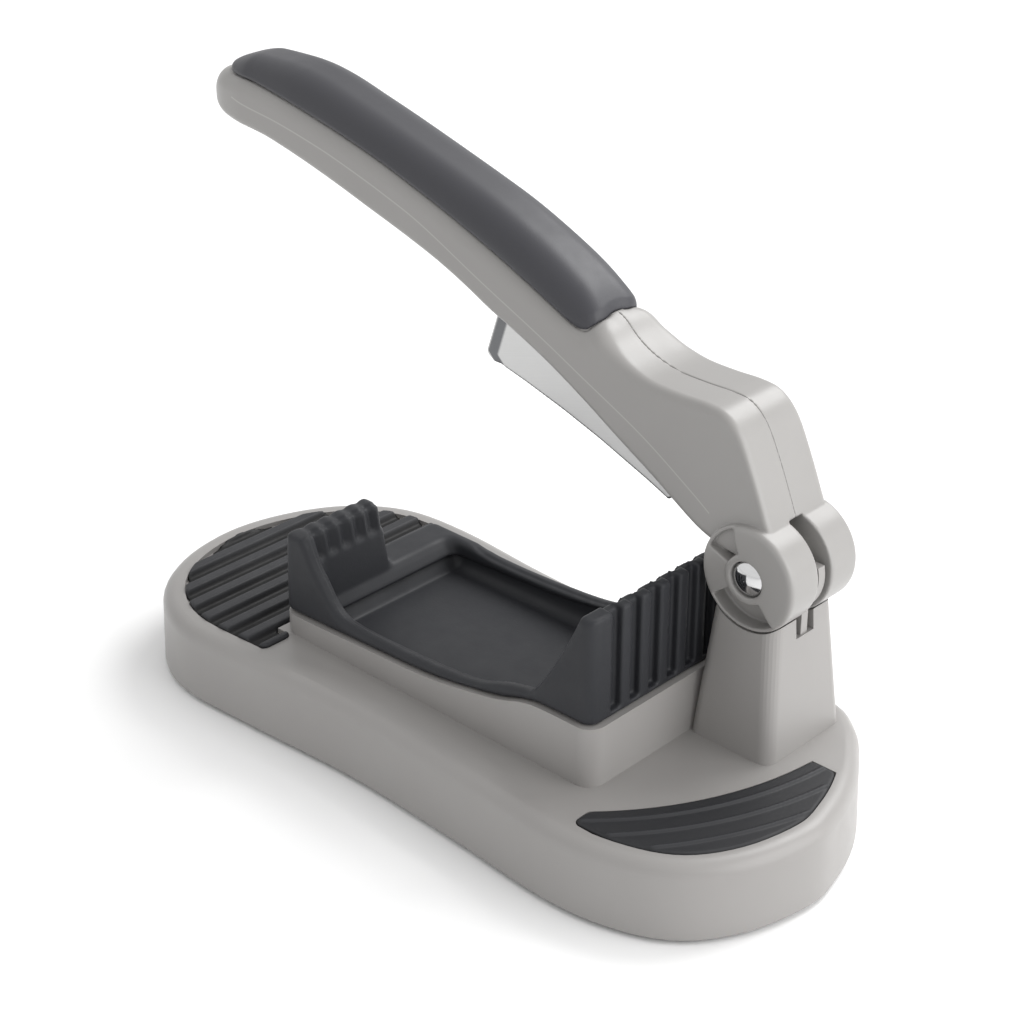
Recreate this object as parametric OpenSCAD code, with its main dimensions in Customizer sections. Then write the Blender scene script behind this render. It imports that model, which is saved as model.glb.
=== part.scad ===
// Lever oyster opener: a rounded base with a plinth, a tray and a tower, and a long lever with a blade.
// Frame: origin at the bottom centre of the whole, X runs from the handle's tip to the hinge end,
// the near side is minus Y, Z is up.

/* [Base] */
// length of the base, mm
base_length = 277.5; // [240:0.5:320]
// width of the base, mm
base_width = 122; // [110:0.5:140]
// distance from the base's middle to the plinth's hinge end, mm
base_shift = 75.25; // [72:0.25:78]
// height of the deck above the table, mm
deck_height = 28; // [24:0.5:34]
// wall thickness of the hollow moulding, mm
base_wall = 3.2; // [2.4:0.1:4]
// radius of the rounded top edge, mm
edge_radius = 5.2; // [3:0.1:8]
// height of the rubber feet below the moulding, mm
foot_height = 1.2; // [0.8:0.1:3]
// diameter of a rubber foot, mm
foot_diameter = 14; // [10:0.5:18]

/* [Plinth] */
// length of the plinth under the tray, mm
plinth_length = 142; // [120:0.5:160]
// width of the plinth, mm
plinth_width = 74; // [66:0.5:80]
// height of the plinth at the tip end above the table, mm
plinth_low = 35.4; // [33:0.1:38]
// height of the plinth at the hinge end above the table, mm
plinth_high = 49.2; // [46:0.1:54]
// radius of the plinth's upright corners, mm
plinth_corner = 6; // [4:0.5:9]
// thickness of the plinth's walls round the pocket, mm
plinth_wall = 3.6; // [3:0.1:4.5]

/* [Tray] */
// height of the wall at the tip end above the table, mm
tip_wall_top = 66; // [60:0.5:70]
// height of the wall at the hinge end above the table, mm
hinge_wall_top = 86.5; // [80:0.5:88]
// height of the low near rim above the table, mm
rim_height = 41; // [40:0.5:44]
// thickness of the tray's walls at the rim, mm
rim_wall = 5.5; // [4:0.5:8]
// length of the tip end wall, from the near side to where the lever swings past, mm
wall_run = 38; // [34:0.5:44]
// height of the hollow's floor above the table, mm
hollow_floor = 33.5; // [33:0.1:36]
// spacing of the upright ribs on the walls, mm
rib_pitch = 8.9; // [7:0.1:11]
// width of one upright rib, mm
rib_width = 4.6; // [3.5:0.1:6]
// number of upright ribs on the hinge wall
rib_count = 6; // [3:1:8]
// depth of the grooves between the ribs, mm
groove_depth = 3.4; // [2:0.1:4]

/* [Pads] */
// thickness of the soft pads, mm
pad_thickness = 3; // [2.5:0.1:4]
// depth of the seats that the pads sit in, mm
pad_seat = 1.8; // [1.2:0.1:2.2]
// spacing of the flat slats on the tip end pad, mm
slat_pitch = 10; // [8:0.5:12]
// width of the grooves between the slats, mm
slat_gap = 2.6; // [2:0.1:4]
// spacing of the raised lines on the hinge end pad, mm
line_pitch = 7.4; // [6:0.1:8]
// width of one raised line, mm
line_width = 1.6; // [1:0.1:2.4]
// distance from the base outline to the tip end pad, mm
tip_pad_margin = 9; // [7:0.5:12]
// distance from the base outline to the hinge end pad, mm
hinge_pad_margin = 7.4; // [7:0.1:9]

/* [Tower] */
// length of the tower's foot along X, mm
tower_length = 32; // [29:0.5:36]
// width of the tower's foot along Y, mm
tower_width = 39.5; // [36:0.5:43]
// height of the tower's top above the table, mm
tower_top = 74.2; // [73:0.1:76]
// how far each side leans in on its way to the top, mm
tower_lean = 4; // [2:0.1:5]
// radius of the tower's upright corners, mm
tower_corner = 4.5; // [3:0.5:6]

/* [Hinge] */
// height of the hinge pin above the table, mm
hinge_height = 88.6; // [88:0.1:92]
// distance of the hinge pin behind the plinth, mm
hinge_setback = 17; // [17:0.25:19]
// distance of the lever's plane from the base's centre line, mm
hinge_offset = 30; // [25:0.5:31]
// radius of the handle's round ears, mm
ear_radius = 17.6; // [16:0.1:18]
// width across both ears, mm
ears_width = 33.5; // [31:0.1:36]
// width of the slot between the ears, mm
slot_width = 6.6; // [6:0.1:8]
// thickness of the tower's tongue in that slot, mm
tongue_width = 3.2; // [2.8:0.1:3.6]
// diameter of the hinge pin, mm
pin_diameter = 6; // [5:0.1:7]
// diameter of the pin's domed head, mm
head_diameter = 11.2; // [10:0.1:12]
// height of the domed head, mm
head_height = 3.4; // [2.8:0.1:4]

/* [Handle] */
// distance from the hinge pin to the handle's tip along X, mm
handle_reach = 253; // [226:1:274]
// width of the handle, mm
handle_width = 27.6; // [26:0.2:29]
// wall thickness of the hollow handle halves, mm
handle_wall = 3; // [2.5:0.1:4]
// thickness of the soft grip, mm
grip_thickness = 3.4; // [3:0.1:4]
// how far the grip stands proud of the handle, mm
grip_lift = 0.5; // [0.2:0.1:1]

/* [Blade] */
// thickness of the blade, mm
blade_thickness = 2; // [1.5:0.1:2.5]
// distance from the hinge pin to the blade's free end, mm
blade_reach = 125; // [112:0.5:128]
// diameter of the pins that hold the blade, mm
blade_pin_diameter = 4; // [3:0.1:5]

/* [Fits] */
// clearance between two pieces that are fastened together, mm
seat_gap = 0.1; // [0.05:0.01:0.2]
// radial clearance of the hinge pin in the tongue, mm
running_gap = 0.05; // [0.02:0.01:0.1]
// clearance between the ears and the tower's cups, mm
cup_gap = 0.6; // [0.4:0.1:1]
// length of a thread cutting screw in the base, mm
screw_length = 14; // [10:0.5:18]
// shank diameter of the screws, mm
screw_diameter = 3; // [2.5:0.1:3.5]
// head diameter of the screws, mm
screw_head = 6; // [5.5:0.1:6.5]

/* [Hidden] */
$fn = 64;
tiny = 0.01;
// the hinge end of the plinth, placed so that the whole is centred on the origin
plinth_end = (handle_reach - hinge_setback - base_length / 2 + base_shift) / 2;
plinth_start = plinth_end - plinth_length;
base_x = plinth_end - base_shift;
pin_x = plinth_end + hinge_setback;
half_plinth = plinth_width / 2;
half_slot = slot_width / 2;
half_ears = ears_width / 2;
half_tongue = tongue_width / 2;
half_blade = blade_thickness / 2;
half_handle = handle_width / 2;
pin_radius = pin_diameter / 2;
head_radius = head_diameter / 2;
head_seat = head_height - 0.8;
bored_fit = 0.02;

// heights inside the hollow base
wall_draft = 0.8;
seat_draft = 0.2;
cover_thickness = 2.4;
cover_bottom = foot_height + 0.4;
cover_top = cover_bottom + cover_thickness;
cover_rebate = 0.4;
deck_under = deck_height - base_wall;
pocket_floor = deck_height + 2.6;
edge_steps = 6;

// tray
tray_inset = 1.2;
tray_lean = 2.8;
tray_start = plinth_start + tray_inset - 2;
tray_end = plinth_end - tray_inset;
tray_length = tray_end - tray_start;
tray_half = half_plinth - tray_inset;
hollow_start = tray_start + 14;
hollow_end = tray_end - 15;
wall_inner = 6.6;

// the base's outline as fractions of half its length and half its width
rim_marks = [
  [1, -0.11], [0.985, 0.15], [0.945, 0.41], [0.885, 0.64], [0.805, 0.86], [0.69, 0.985],
  [0.4, 0.97], [0.09, 0.925], [-0.215, 0.94], [-0.517, 0.99], [-0.726, 0.935], [-0.877, 0.69],
  [-0.967, 0.33], [-1, -0.065], [-0.964, -0.475], [-0.863, -0.8], [-0.69, -0.99], [-0.43, -0.98],
  [-0.092, -0.934], [0.254, -0.955], [0.564, -0.992], [0.744, -0.928], [0.874, -0.77], [0.96, -0.48]
];
// places of the feet and of the cover's screws, as fractions in the same way
foot_marks = [[-0.72, -0.5], [-0.72, 0.5], [0.72, -0.5], [0.72, 0.5]];
screw_marks = [[-0.79, 0], [0.05, -0.76], [0.05, 0.76], [0.86, 0]];

// top line of the plinth and of the tray, as [x, height] marks
function along_plinth(f) = plinth_start + f * plinth_length;
function along_tray(f) = tray_start + f * tray_length;
plinth_line = [
  [along_plinth(-0.03), plinth_low - 0.1], [along_plinth(0.1), plinth_low + 0.5],
  [along_plinth(0.33), plinth_low + 1.9], [along_plinth(0.48), plinth_low + 3],
  [along_plinth(0.577), plinth_low + 4.8], [along_plinth(0.725), plinth_high - 4.8],
  [along_plinth(0.782), plinth_high - 1.9], [along_plinth(0.831), plinth_high - 0.4],
  [along_plinth(0.93), plinth_high], [along_plinth(1.03), plinth_high]
];
tray_line = [
  [tray_start + 10.5, tip_wall_top], [tray_start + 12.8, tip_wall_top - 3.6],
  [tray_start + 15.8, tip_wall_top - 9.4], [tray_start + 19.6, tip_wall_top - 14.3],
  [tray_start + 23.5, rim_height + 5.2], [tray_start + 28.4, rim_height + 1.3],
  [along_tray(0.268), rim_height], [along_tray(0.473), rim_height + 0.8],
  [along_tray(0.636), rim_height + 3.2], [tray_end - 38, plinth_high - 0.3],
  [tray_end - 31, plinth_high + 1.4], [tray_end - 26, plinth_high + 2.8],
  [tray_end - 22, plinth_high + 7.2], [tray_end - 14, plinth_high + 20.5],
  [tray_end - 9.3, hinge_wall_top - 7.6], [tray_end - 5.8, hinge_wall_top]
];

// the handle in its own plane, measured from the hinge pin at the drawn reach:
// crown, bottom, radius of the top corners and half width
drawn_reach = 253;
drawn_half = 13.8;
handle_scale = handle_reach / drawn_reach;
crown_line = [
  [-253, 97.3], [-250.6, 102.3], [-246, 106.8], [-239, 110.3], [-231, 112.9], [-227, 113.7],
  [-218, 114.4], [-213, 114.5], [-200, 112.6], [-181, 108.2], [-167, 104.8], [-147, 99.2],
  [-126, 93], [-112, 88.5], [-99, 83.3], [-85, 76.8], [-74, 70.2], [-65, 62.8], [-59, 57.5],
  [-53, 54.1], [-46, 51.9], [-40, 51], [-30, 50.8], [-20, 51], [-13, 49.6], [-7, 44], [-1, 32.2],
  [4.6, 19], [6, 15.6]
];
bottom_line = [
  [-253, 93.8], [-250.6, 90.9], [-245, 89.2], [-236, 87.9], [-224, 86.9], [-217, 86.2], [-200, 83],
  [-183, 79.8], [-167, 75.6], [-151, 70.9], [-136, 66], [-124, 61.2], [-110, 54.7], [-103, 52],
  [-86, 44.5], [-71, 36.6], [-56, 27.9], [-40, 18.8], [-33, 14.5], [-23, 8.6], [-17, 6.2],
  [-10, 4.6], [6, 3.6]
];
corner_line = [
  [-253, 2], [-250, 6.2], [-243, 11], [-235, 13.4], [-88, 13.4], [-74, 12.4], [-60, 6], [-48, 3.4], [6, 3]
];
width_line = [[-253, 3], [-251.5, 6.8], [-247, 10.2], [-240, 12.6], [-230, 13.8], [-60, 13.8], [6, 13.8]];

// where the sections of the handle and of the grip are taken
stations = concat(
  [-253, -252.2, -251, -249, -246, -243, -239, -235], [for (x = [-230 : 5 : -80]) x],
  [for (x = [-76 : 4 : -20]) x], [for (x = [-17 : 3 : 4]) x], [6]);
grip_stations = concat(
  [-247, -245, -243, -240, -236, -232], [for (x = [-227 : 5 : -72]) x], [-69, -66.5, -64]);

// smooth curve through marks: Hermite pieces with the slope of the neighbouring marks
function mark_below(t, marks, i = 0) =
  i >= len(marks) - 2 || t < marks[i + 1][0] ? i : mark_below(t, marks, i + 1);
function mark_slope(marks, i) =
  let (a = max(i - 1, 0), b = min(i + 1, len(marks) - 1))
  (marks[b][1] - marks[a][1]) / (marks[b][0] - marks[a][0]);
function curve(t, marks) =
  let (i = mark_below(t, marks), h = marks[i + 1][0] - marks[i][0])
  let (u = min(max((t - marks[i][0]) / h, 0), 1))
  let (a = marks[i][1], b = marks[i + 1][1])
  let (p = mark_slope(marks, i) * h, q = mark_slope(marks, i + 1) * h)
  a * (1 + 2 * u) * pow(1 - u, 2) + b * u * u * (3 - 2 * u)
  + p * u * pow(1 - u, 2) + q * u * u * (u - 1);

// closed smooth loop through marks in the plane
function loop_point(marks, i, u) =
  let (n = len(marks))
  let (p0 = marks[(i + n - 1) % n], p1 = marks[i % n], p2 = marks[(i + 1) % n], p3 = marks[(i + 2) % n])
  0.5 * (2 * p1 + (p2 - p0) * u + (2 * p0 - 5 * p1 + 4 * p2 - p3) * u * u
         + (3 * p1 - p0 - 3 * p2 + p3) * u * u * u);
function on_base(p) = [base_x + p[0] * base_length / 2, p[1] * base_width / 2];
loop_steps = 5;
outline = [for (i = [0 : len(rim_marks) - 1]) for (k = [0 : loop_steps - 1])
  on_base(loop_point(rim_marks, i, k / loop_steps))];
function inward(i) =
  let (n = len(outline), d = outline[(i + 1) % n] - outline[(i + n - 1) % n])
  [-d[1], d[0]] / norm(d);
function inset_outline(d) = [for (i = [0 : len(outline) - 1]) outline[i] + inward(i) * d];

// solid through rings with equally many points, each ring counterclockwise seen from the last one's side
module loft(rings) {
  n = len(rings[0]);
  m = len(rings);
  polyhedron(
    points = [for (ring = rings) for (p = ring) p],
    faces = concat(
      [[for (i = [0 : n - 1]) i]],
      [[for (i = [0 : n - 1]) m * n - 1 - i]],
      [for (j = [0 : m - 2]) for (i = [0 : n - 1]) let (k = (i + 1) % n)
        each [[j * n + i, (j + 1) * n + k, j * n + k], [j * n + i, (j + 1) * n + i, (j + 1) * n + k]]]),
    convexity = 8);
}

module rounded_plan(x0, x1, y0, y1, r) {
  union() {
    translate([x0 + r, y0]) square([x1 - x0 - 2 * r, y1 - y0]);
    translate([x0, y0 + r]) square([x1 - x0, y1 - y0 - 2 * r]);
    for (x = [x0 + r, x1 - r]) for (y = [y0 + r, y1 - r]) translate([x, y]) circle(r);
  }
}

module rounded_block(x0, x1, y0, y1, z0, z1, r) {
  translate([0, 0, z0]) linear_extrude(z1 - z0) rounded_plan(x0, x1, y0, y1, r);
}

module box(x0, x1, y0, y1, z0, z1) {
  translate([x0, y0, z0]) cube([x1 - x0, y1 - y0, z1 - z0]);
}

// prism across the lever's plane from a polygon in X and Z
module across(points, y0, y1) {
  translate([0, y1, 0]) rotate([90, 0, 0]) linear_extrude(y1 - y0) polygon(points);
}

module rod(r, y0, y1) {
  translate([0, y1, 0]) rotate([90, 0, 0]) cylinder(r = r, h = y1 - y0);
}

module at_hinge() {
  translate([pin_x, hinge_offset, hinge_height]) children();
}

// base
boss_radius = 4.2;
foot_spots = [for (p = foot_marks) on_base(p)];
screw_spots = [for (p = screw_marks) on_base(p)];

module base_body() {
  edge = [for (k = [0 : edge_steps]) 90 * k / edge_steps];
  rings = concat(
    [[for (p = inset_outline(1)) [p[0], p[1], foot_height]]],
    [[for (p = inset_outline(0)) [p[0], p[1], foot_height + 1]]],
    [for (a = edge)
      let (d = wall_draft + edge_radius * (1 - cos(a)), z = deck_height - edge_radius * (1 - sin(a)))
      [for (p = inset_outline(d)) [p[0], p[1], z]]]);
  loft(rings);
}

module plinth_body() {
  steps = 28;
  top = [for (k = [steps : -1 : 0]) let (x = along_plinth(k / steps)) [x, curve(x, plinth_line)]];
  intersection() {
    across(concat([[plinth_start, deck_height - 2], [plinth_end, deck_height - 2]], top),
           -half_plinth, half_plinth);
    rounded_block(plinth_start, plinth_end, -half_plinth, half_plinth,
                  deck_height - 3, plinth_high + 5, plinth_corner);
  }
}

// tower: it starts just inside the plinth, and its sides lean in a little more than its ends
tower_sink = 1;
side_lean = 1.15 * tower_lean;
function tower_ring(z, lean, aside) =
  let (x0 = plinth_end - tower_sink + lean, x1 = plinth_end + tower_length - lean)
  let (y0 = hinge_offset - tower_width / 2 + aside, y1 = hinge_offset + tower_width / 2 - aside)
  let (c = [[x1 - tower_corner, y1 - tower_corner, 0], [x0 + tower_corner, y1 - tower_corner, 90],
            [x0 + tower_corner, y0 + tower_corner, 180], [x1 - tower_corner, y0 + tower_corner, 270]])
  [for (k = c) for (a = [0 : 15 : 90])
    [k[0] + tower_corner * cos(k[2] + a), k[1] + tower_corner * sin(k[2] + a), z]];

notch_half = 4.4;
notch_floor = tower_top - 7;

module tower_body() {
  difference() {
    loft([tower_ring(deck_height - 2, 0, 0), tower_ring(tower_top, tower_lean, side_lean)]);
    at_hinge() rod(ear_radius + cup_gap, -tower_width, tower_width);
    box(pin_x - 12, pin_x + tower_length, hinge_offset - notch_half, hinge_offset + notch_half,
        notch_floor, tower_top + 1);
  }
}

module tongue() {
  radius = ear_radius - 1.3;
  boss = pin_radius + 5;
  foot = notch_floor - 2 - hinge_height;
  at_hinge() {
    intersection() {
      rod(radius, -half_tongue, half_tongue);
      box(-radius, radius, -half_tongue, half_tongue, foot, 4);
    }
    rod(boss, -half_tongue, half_tongue);
    box(-9, 11, -half_tongue, half_tongue, foot, -8);
  }
}

module base_hollow() {
  run = tower_width / 2 - side_lean - base_wall;
  inside = tower_lean + base_wall;
  translate([0, 0, -1]) linear_extrude(deck_under + 1) polygon(inset_outline(base_wall + wall_draft));
  rounded_block(plinth_end - tower_sink + inside, plinth_end + tower_length - inside,
                hinge_offset - run, hinge_offset + run, deck_under - 1, notch_floor - 7, 2);
}

// pocket that the tray's lining sits in, made smaller by a margin for the lining itself
module pocket_space(margin, z0, z1) {
  inside = plinth_wall + margin;
  rounded_block(plinth_start + inside, plinth_end - inside, inside - half_plinth, half_plinth - inside,
                z0, z1, plinth_corner - margin);
}

module screw_boss(p) {
  translate([p[0], p[1], cover_top + seat_gap]) cylinder(r = boss_radius, h = deck_under - cover_top + 1);
}

// plan of the tip end pad: it stops at the plinth and turns a little way round the plinth's two corners
pad_wrap = 6;
module tip_pad_plan(grow) {
  stop = plinth_start - 1.5 + grow;
  intersection() {
    polygon(inset_outline(tip_pad_margin - grow));
    union() {
      translate([-base_length, -base_width]) square([base_length + stop, 2 * base_width]);
      for (side = [-1, 1]) scale([1, side])
        rounded_plan(stop - 4 * pad_wrap, plinth_start + pad_wrap + grow,
                     half_plinth + 1.5 - grow, base_width / 2 - tip_pad_margin, 3.5);
    }
  }
}

// plan of the hinge end pad: a crescent between an arc round a centre on the deck and the base's outline
base_end = base_x + base_length / 2;
arc_radius = 112.5;
crescent_depth = 23.5;
arc_centre = [base_end - crescent_depth - arc_radius, 35.4];
crescent_start = base_end - 57;
crescent_far = 23.5;
module hinge_pad_plan(grow) {
  difference() {
    intersection() {
      polygon(inset_outline(hinge_pad_margin - grow));
      rounded_plan(crescent_start - grow, base_end + base_length, 8.8 - base_width / 2 - grow,
                   crescent_far + grow, 3);
    }
    translate(arc_centre) circle(arc_radius - grow, $fn = 128);
  }
}

module base_shell() color([0.64, 0.63, 0.62]) {
  difference() {
    union() {
      difference() {
        union() {
          base_body();
          plinth_body();
          tower_body();
        }
        base_hollow();
      }
      for (p = screw_spots) screw_boss(p);
      tongue();
    }
    pocket_space(0, pocket_floor, plinth_high + 6);
    translate([0, 0, -1]) linear_extrude(cover_top + seat_gap + 1)
      polygon(inset_outline(base_wall - cover_rebate));
    translate([0, 0, deck_height - pad_seat]) linear_extrude(pad_seat + 1) tip_pad_plan(seat_draft);
    translate([0, 0, deck_height - pad_seat]) linear_extrude(pad_seat + 1) hinge_pad_plan(seat_draft);
    for (p = screw_spots) translate([p[0], p[1], 0]) cylinder(d = screw_diameter - 0.1, h = screw_length + 3);
    at_hinge() rod(pin_radius + running_gap, -slot_width, slot_width);
  }
}

screw_recess = 1.8;
module base_cover() color([0.32, 0.32, 0.33]) {
  difference() {
    translate([0, 0, cover_bottom]) linear_extrude(cover_thickness)
      polygon(inset_outline(base_wall - cover_rebate + seat_gap));
    for (p = screw_spots) translate([p[0], p[1], -1]) {
      cylinder(d = screw_diameter + 0.4, h = cover_top + 5);
      cylinder(d = screw_head + 0.5, h = cover_bottom + screw_recess + 1);
    }
    for (p = foot_spots) translate([p[0], p[1], -1])
      cylinder(d = foot_diameter + 2 * seat_gap, h = cover_bottom + 2);
  }
}

// pan head screw with a cross slot, its thread drawn plain
module base_screw(p) color([0.7, 0.71, 0.72]) {
  head_bottom = cover_bottom - 0.2;
  head_top = cover_bottom + screw_recess - seat_gap;
  translate([p[0], p[1], 0]) difference() {
    union() {
      translate([0, 0, head_bottom]) cylinder(d = screw_head, h = head_top - head_bottom);
      translate([0, 0, head_top - 0.5]) cylinder(d = screw_diameter - 0.12, h = screw_length - 1);
    }
    for (a = [0, 90]) rotate(a) translate([-1.6, -0.4, head_bottom - 1]) cube([3.2, 0.8, 1.8]);
  }
}
module base_screw_1() base_screw(screw_spots[0]);
module base_screw_2() base_screw(screw_spots[1]);
module base_screw_3() base_screw(screw_spots[2]);
module base_screw_4() base_screw(screw_spots[3]);

// rubber foot with a bevelled lower edge, pressed into the cover
module foot(p) color([0.12, 0.12, 0.13]) {
  bevel = 0.8;
  translate([p[0], p[1], 0]) {
    cylinder(d1 = foot_diameter - 2 * bevel, d2 = foot_diameter, h = bevel);
    translate([0, 0, bevel]) cylinder(d = foot_diameter, h = cover_bottom + 1 - seat_gap - bevel);
  }
}
module foot_1() foot(foot_spots[0]);
module foot_2() foot(foot_spots[1]);
module foot_3() foot(foot_spots[2]);
module foot_4() foot(foot_spots[3]);

// tray
function tray_top(x) =
  x <= tray_line[0][0] ? tip_wall_top
  : x >= tray_line[len(tray_line) - 1][0] ? hinge_wall_top : curve(x, tray_line);

// side view of the tray above a list of marks for its underside
module tray_side(low, drop) {
  steps = 70;
  high = [for (k = [steps - 1 : -1 : 1]) let (x = along_tray(k / steps))
    if (x > tray_start + tray_lean + 1.5 && x < tray_end - 3.5) [x, tray_top(x) - drop]];
  across(concat(
    low, [[tray_end - 1.4, hinge_wall_top - 1.2 - drop], [tray_end - 2.6, hinge_wall_top - drop]], high,
    [[tray_start + tray_lean + 0.8, tip_wall_top - drop], [tray_start + tray_lean, tip_wall_top - 1 - drop]]),
    -tray_half, tray_half);
}

// the part that stands on the plinth, and the lining that fills the plinth's pocket
module tray_solid() {
  low_steps = 24;
  low = [for (k = [0 : low_steps]) let (x = along_tray(k / low_steps)) [x, curve(x, plinth_line) + seat_gap]];
  floor_line = [[tray_start + 1, pocket_floor + seat_gap], [tray_end - 1, pocket_floor + seat_gap]];
  intersection() {
    tray_side(low, 0);
    rounded_block(tray_start, tray_end, -tray_half, tray_half, deck_height, hinge_wall_top + 5,
                  plinth_corner - tray_inset);
  }
  intersection() {
    tray_side(floor_line, 1.2);
    pocket_space(2 * seat_gap, deck_height, plinth_high + 3);
  }
}

// the hollow: its end walls lean, so that they stay thick at their feet
module tray_hollow() {
  y0 = rim_wall - tray_half;
  above = hinge_wall_top + 30;
  slant = [[hollow_start + 6, hollow_floor], [hollow_end - 26, hollow_floor],
           [hollow_end - 8, plinth_high - 4], [hollow_end - 6, plinth_high + 3],
           [tray_end - wall_inner, hinge_wall_top + 5],
           [tray_end - wall_inner, above], [hollow_start - 8, above], [hollow_start - 4.4, tip_wall_top + 4],
           [hollow_start - 2, tip_wall_top - 10], [hollow_start + 1, rim_height]];
  intersection() {
    across(slant, y0, -y0);
    rounded_block(hollow_start - 10, tray_end, y0, -y0, deck_height, above + 1, 8);
  }
}

module tray() color([0.2, 0.2, 0.21]) {
  rib_start = 14.5 - tray_half;
  above = hinge_wall_top + 1;
  tip_pitch = wall_run / 6.2;
  tip_teeth = 5;
  tooth_depth = 8;
  difference() {
    tray_solid();
    tray_hollow();
    // the tip wall ends where the lever swings past
    box(tray_start - 1, tray_start + 30, wall_run - tray_half, tray_half + 1, rim_height + 1.5, above);
    // upright grooves between the ribs, outside the hinge wall
    for (k = [0 : rib_count]) {
      y = rib_start + (k - 1) * rib_pitch + rib_width;
      box(tray_end - groove_depth, tray_end + 1, y, y + rib_pitch - rib_width, plinth_high + 2.2, above);
    }
    // teeth on the inside of both walls' tops, and outside the tip wall
    for (k = [0 : rib_count - 1]) {
      y = rib_start + k * rib_pitch + 1;
      box(tray_end - 2 * wall_inner, tray_end - wall_inner, y, y + rib_width - 2,
          hinge_wall_top - tooth_depth, above);
    }
    for (k = [0 : tip_teeth - 1]) {
      y = 7 - tray_half + k * tip_pitch;
      box(tray_start + 7.6, tray_start + 14, y, y + tip_pitch / 2, tip_wall_top - tooth_depth, above);
      box(tray_start - 1, tray_start + 4.6, y + tip_pitch / 2, y + tip_pitch, tip_wall_top - 5, above);
    }
  }
}

// pads
pad_bottom = deck_height - pad_seat + seat_gap;
module tip_end_pad() color([0.2, 0.2, 0.21]) {
  relief = 1.3;
  first = base_x - base_length / 2 + 3.6;
  translate([0, 0, pad_bottom]) linear_extrude(pad_thickness - relief) tip_pad_plan(0);
  translate([0, 0, pad_bottom]) linear_extrude(pad_thickness) intersection() {
    tip_pad_plan(-0.8);
    union() for (x = [first : slat_pitch : plinth_start + pad_wrap])
      translate([x, -base_width]) square([slat_pitch - slat_gap, 2 * base_width]);
  }
}

module hinge_end_pad() color([0.2, 0.2, 0.21]) {
  relief = 0.6;
  first = 5.1;
  translate([0, 0, pad_bottom]) linear_extrude(pad_thickness - relief) hinge_pad_plan(0);
  translate([0, 0, pad_bottom]) linear_extrude(pad_thickness) intersection() {
    hinge_pad_plan(-0.8);
    union() for (k = [0 : 2]) translate(arc_centre) difference() {
      circle(arc_radius + first + line_pitch * k + line_width / 2, $fn = 128);
      circle(arc_radius + first + line_pitch * k - line_width / 2, $fn = 128);
    }
  }
}

// handle
function scaled(x) = x * handle_scale;
function width_at(x) = curve(x, width_line) * half_handle / drawn_half;
// heights of the crown and of the underside at a real distance from the pin
function handle_top(x) = curve(x / handle_scale, crown_line);
function handle_low(x) = curve(x / handle_scale, bottom_line);

// half of the handle's cross section at x, from the crown round the side to the bottom
function half_section(x, side) =
  let (t = curve(x, crown_line), b = curve(x, bottom_line), w = width_at(x))
  let (r = min(curve(x, corner_line), w * 0.97, max(t - b, 1) * 0.48))
  let (e = min(3, w * 0.4, max(t - b, 1) * 0.3))
  let (seam = seat_gap / 2)
  let (ring = concat(
    [[seam, t - 0.45], [seam + 0.3, t - 0.05]],
    [for (a = [90 : -15 : 0]) [w - r + r * cos(a), t - r + r * sin(a)]],
    [for (a = [0 : -30 : -90]) [w - e + e * cos(a), b + e + e * sin(a)]],
    [[seam + 0.3, b], [seam, b + 0.3]]))
  [for (p = ring) [scaled(x), side * p[0], p[1]]];

function turned(ring, side) = side > 0 ? [for (i = [len(ring) - 1 : -1 : 0]) ring[i]] : ring;

// the top of the section pushed out by a distance, from the near shoulder over the crown to the far one,
// the shoulders starting at an angle above the level
shoulder_steps = 6;
function top_arc(x, out, start) =
  let (t = curve(x, crown_line), w = width_at(x), r = min(curve(x, corner_line), w * 0.97))
  let (angles = [for (k = [0 : shoulder_steps]) start + (90 - start) * k / shoulder_steps])
  concat(
    [for (a = angles) [scaled(x), r - w - (r + out) * cos(a), t - r + (r + out) * sin(a)]],
    [for (a = back(angles)) [scaled(x), w - r + (r + out) * cos(a), t - r + (r + out) * sin(a)]]);
function back(ring) = [for (i = [len(ring) - 1 : -1 : 0]) ring[i]];

// plan of the grip: rounded at the tip, two lobes with a small dip between them at the inner end
grip_side = 20;
grip_marks = [[-244.5, 1], [-244.1, 4.4], [-242.2, 7.8], [-238.6, 10.8], [-233, 13.2], [-226, 15.5],
              [-76, 15.5], [-70.4, 12.6], [-67.8, 10], [-66.4, 6.8], [-66.8, 4.2], [-68.8, 2.9], [-69.6, 1]];
module grip_plan(margin) {
  half = [for (p = grip_marks) [scaled(p[0]) + (p[0] < -150 ? -margin : margin), p[1] + margin]];
  polygon(concat([for (p = half) [p[0], -p[1]]], back(half)));
}
module grip_shape(depth, out, margin) {
  start = grip_side - 6 * margin;
  intersection() {
    loft([for (x = grip_stations) concat(top_arc(x, -depth, start), back(top_arc(x, out, start)))]);
    linear_extrude(drawn_reach) grip_plan(margin);
  }
}

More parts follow.
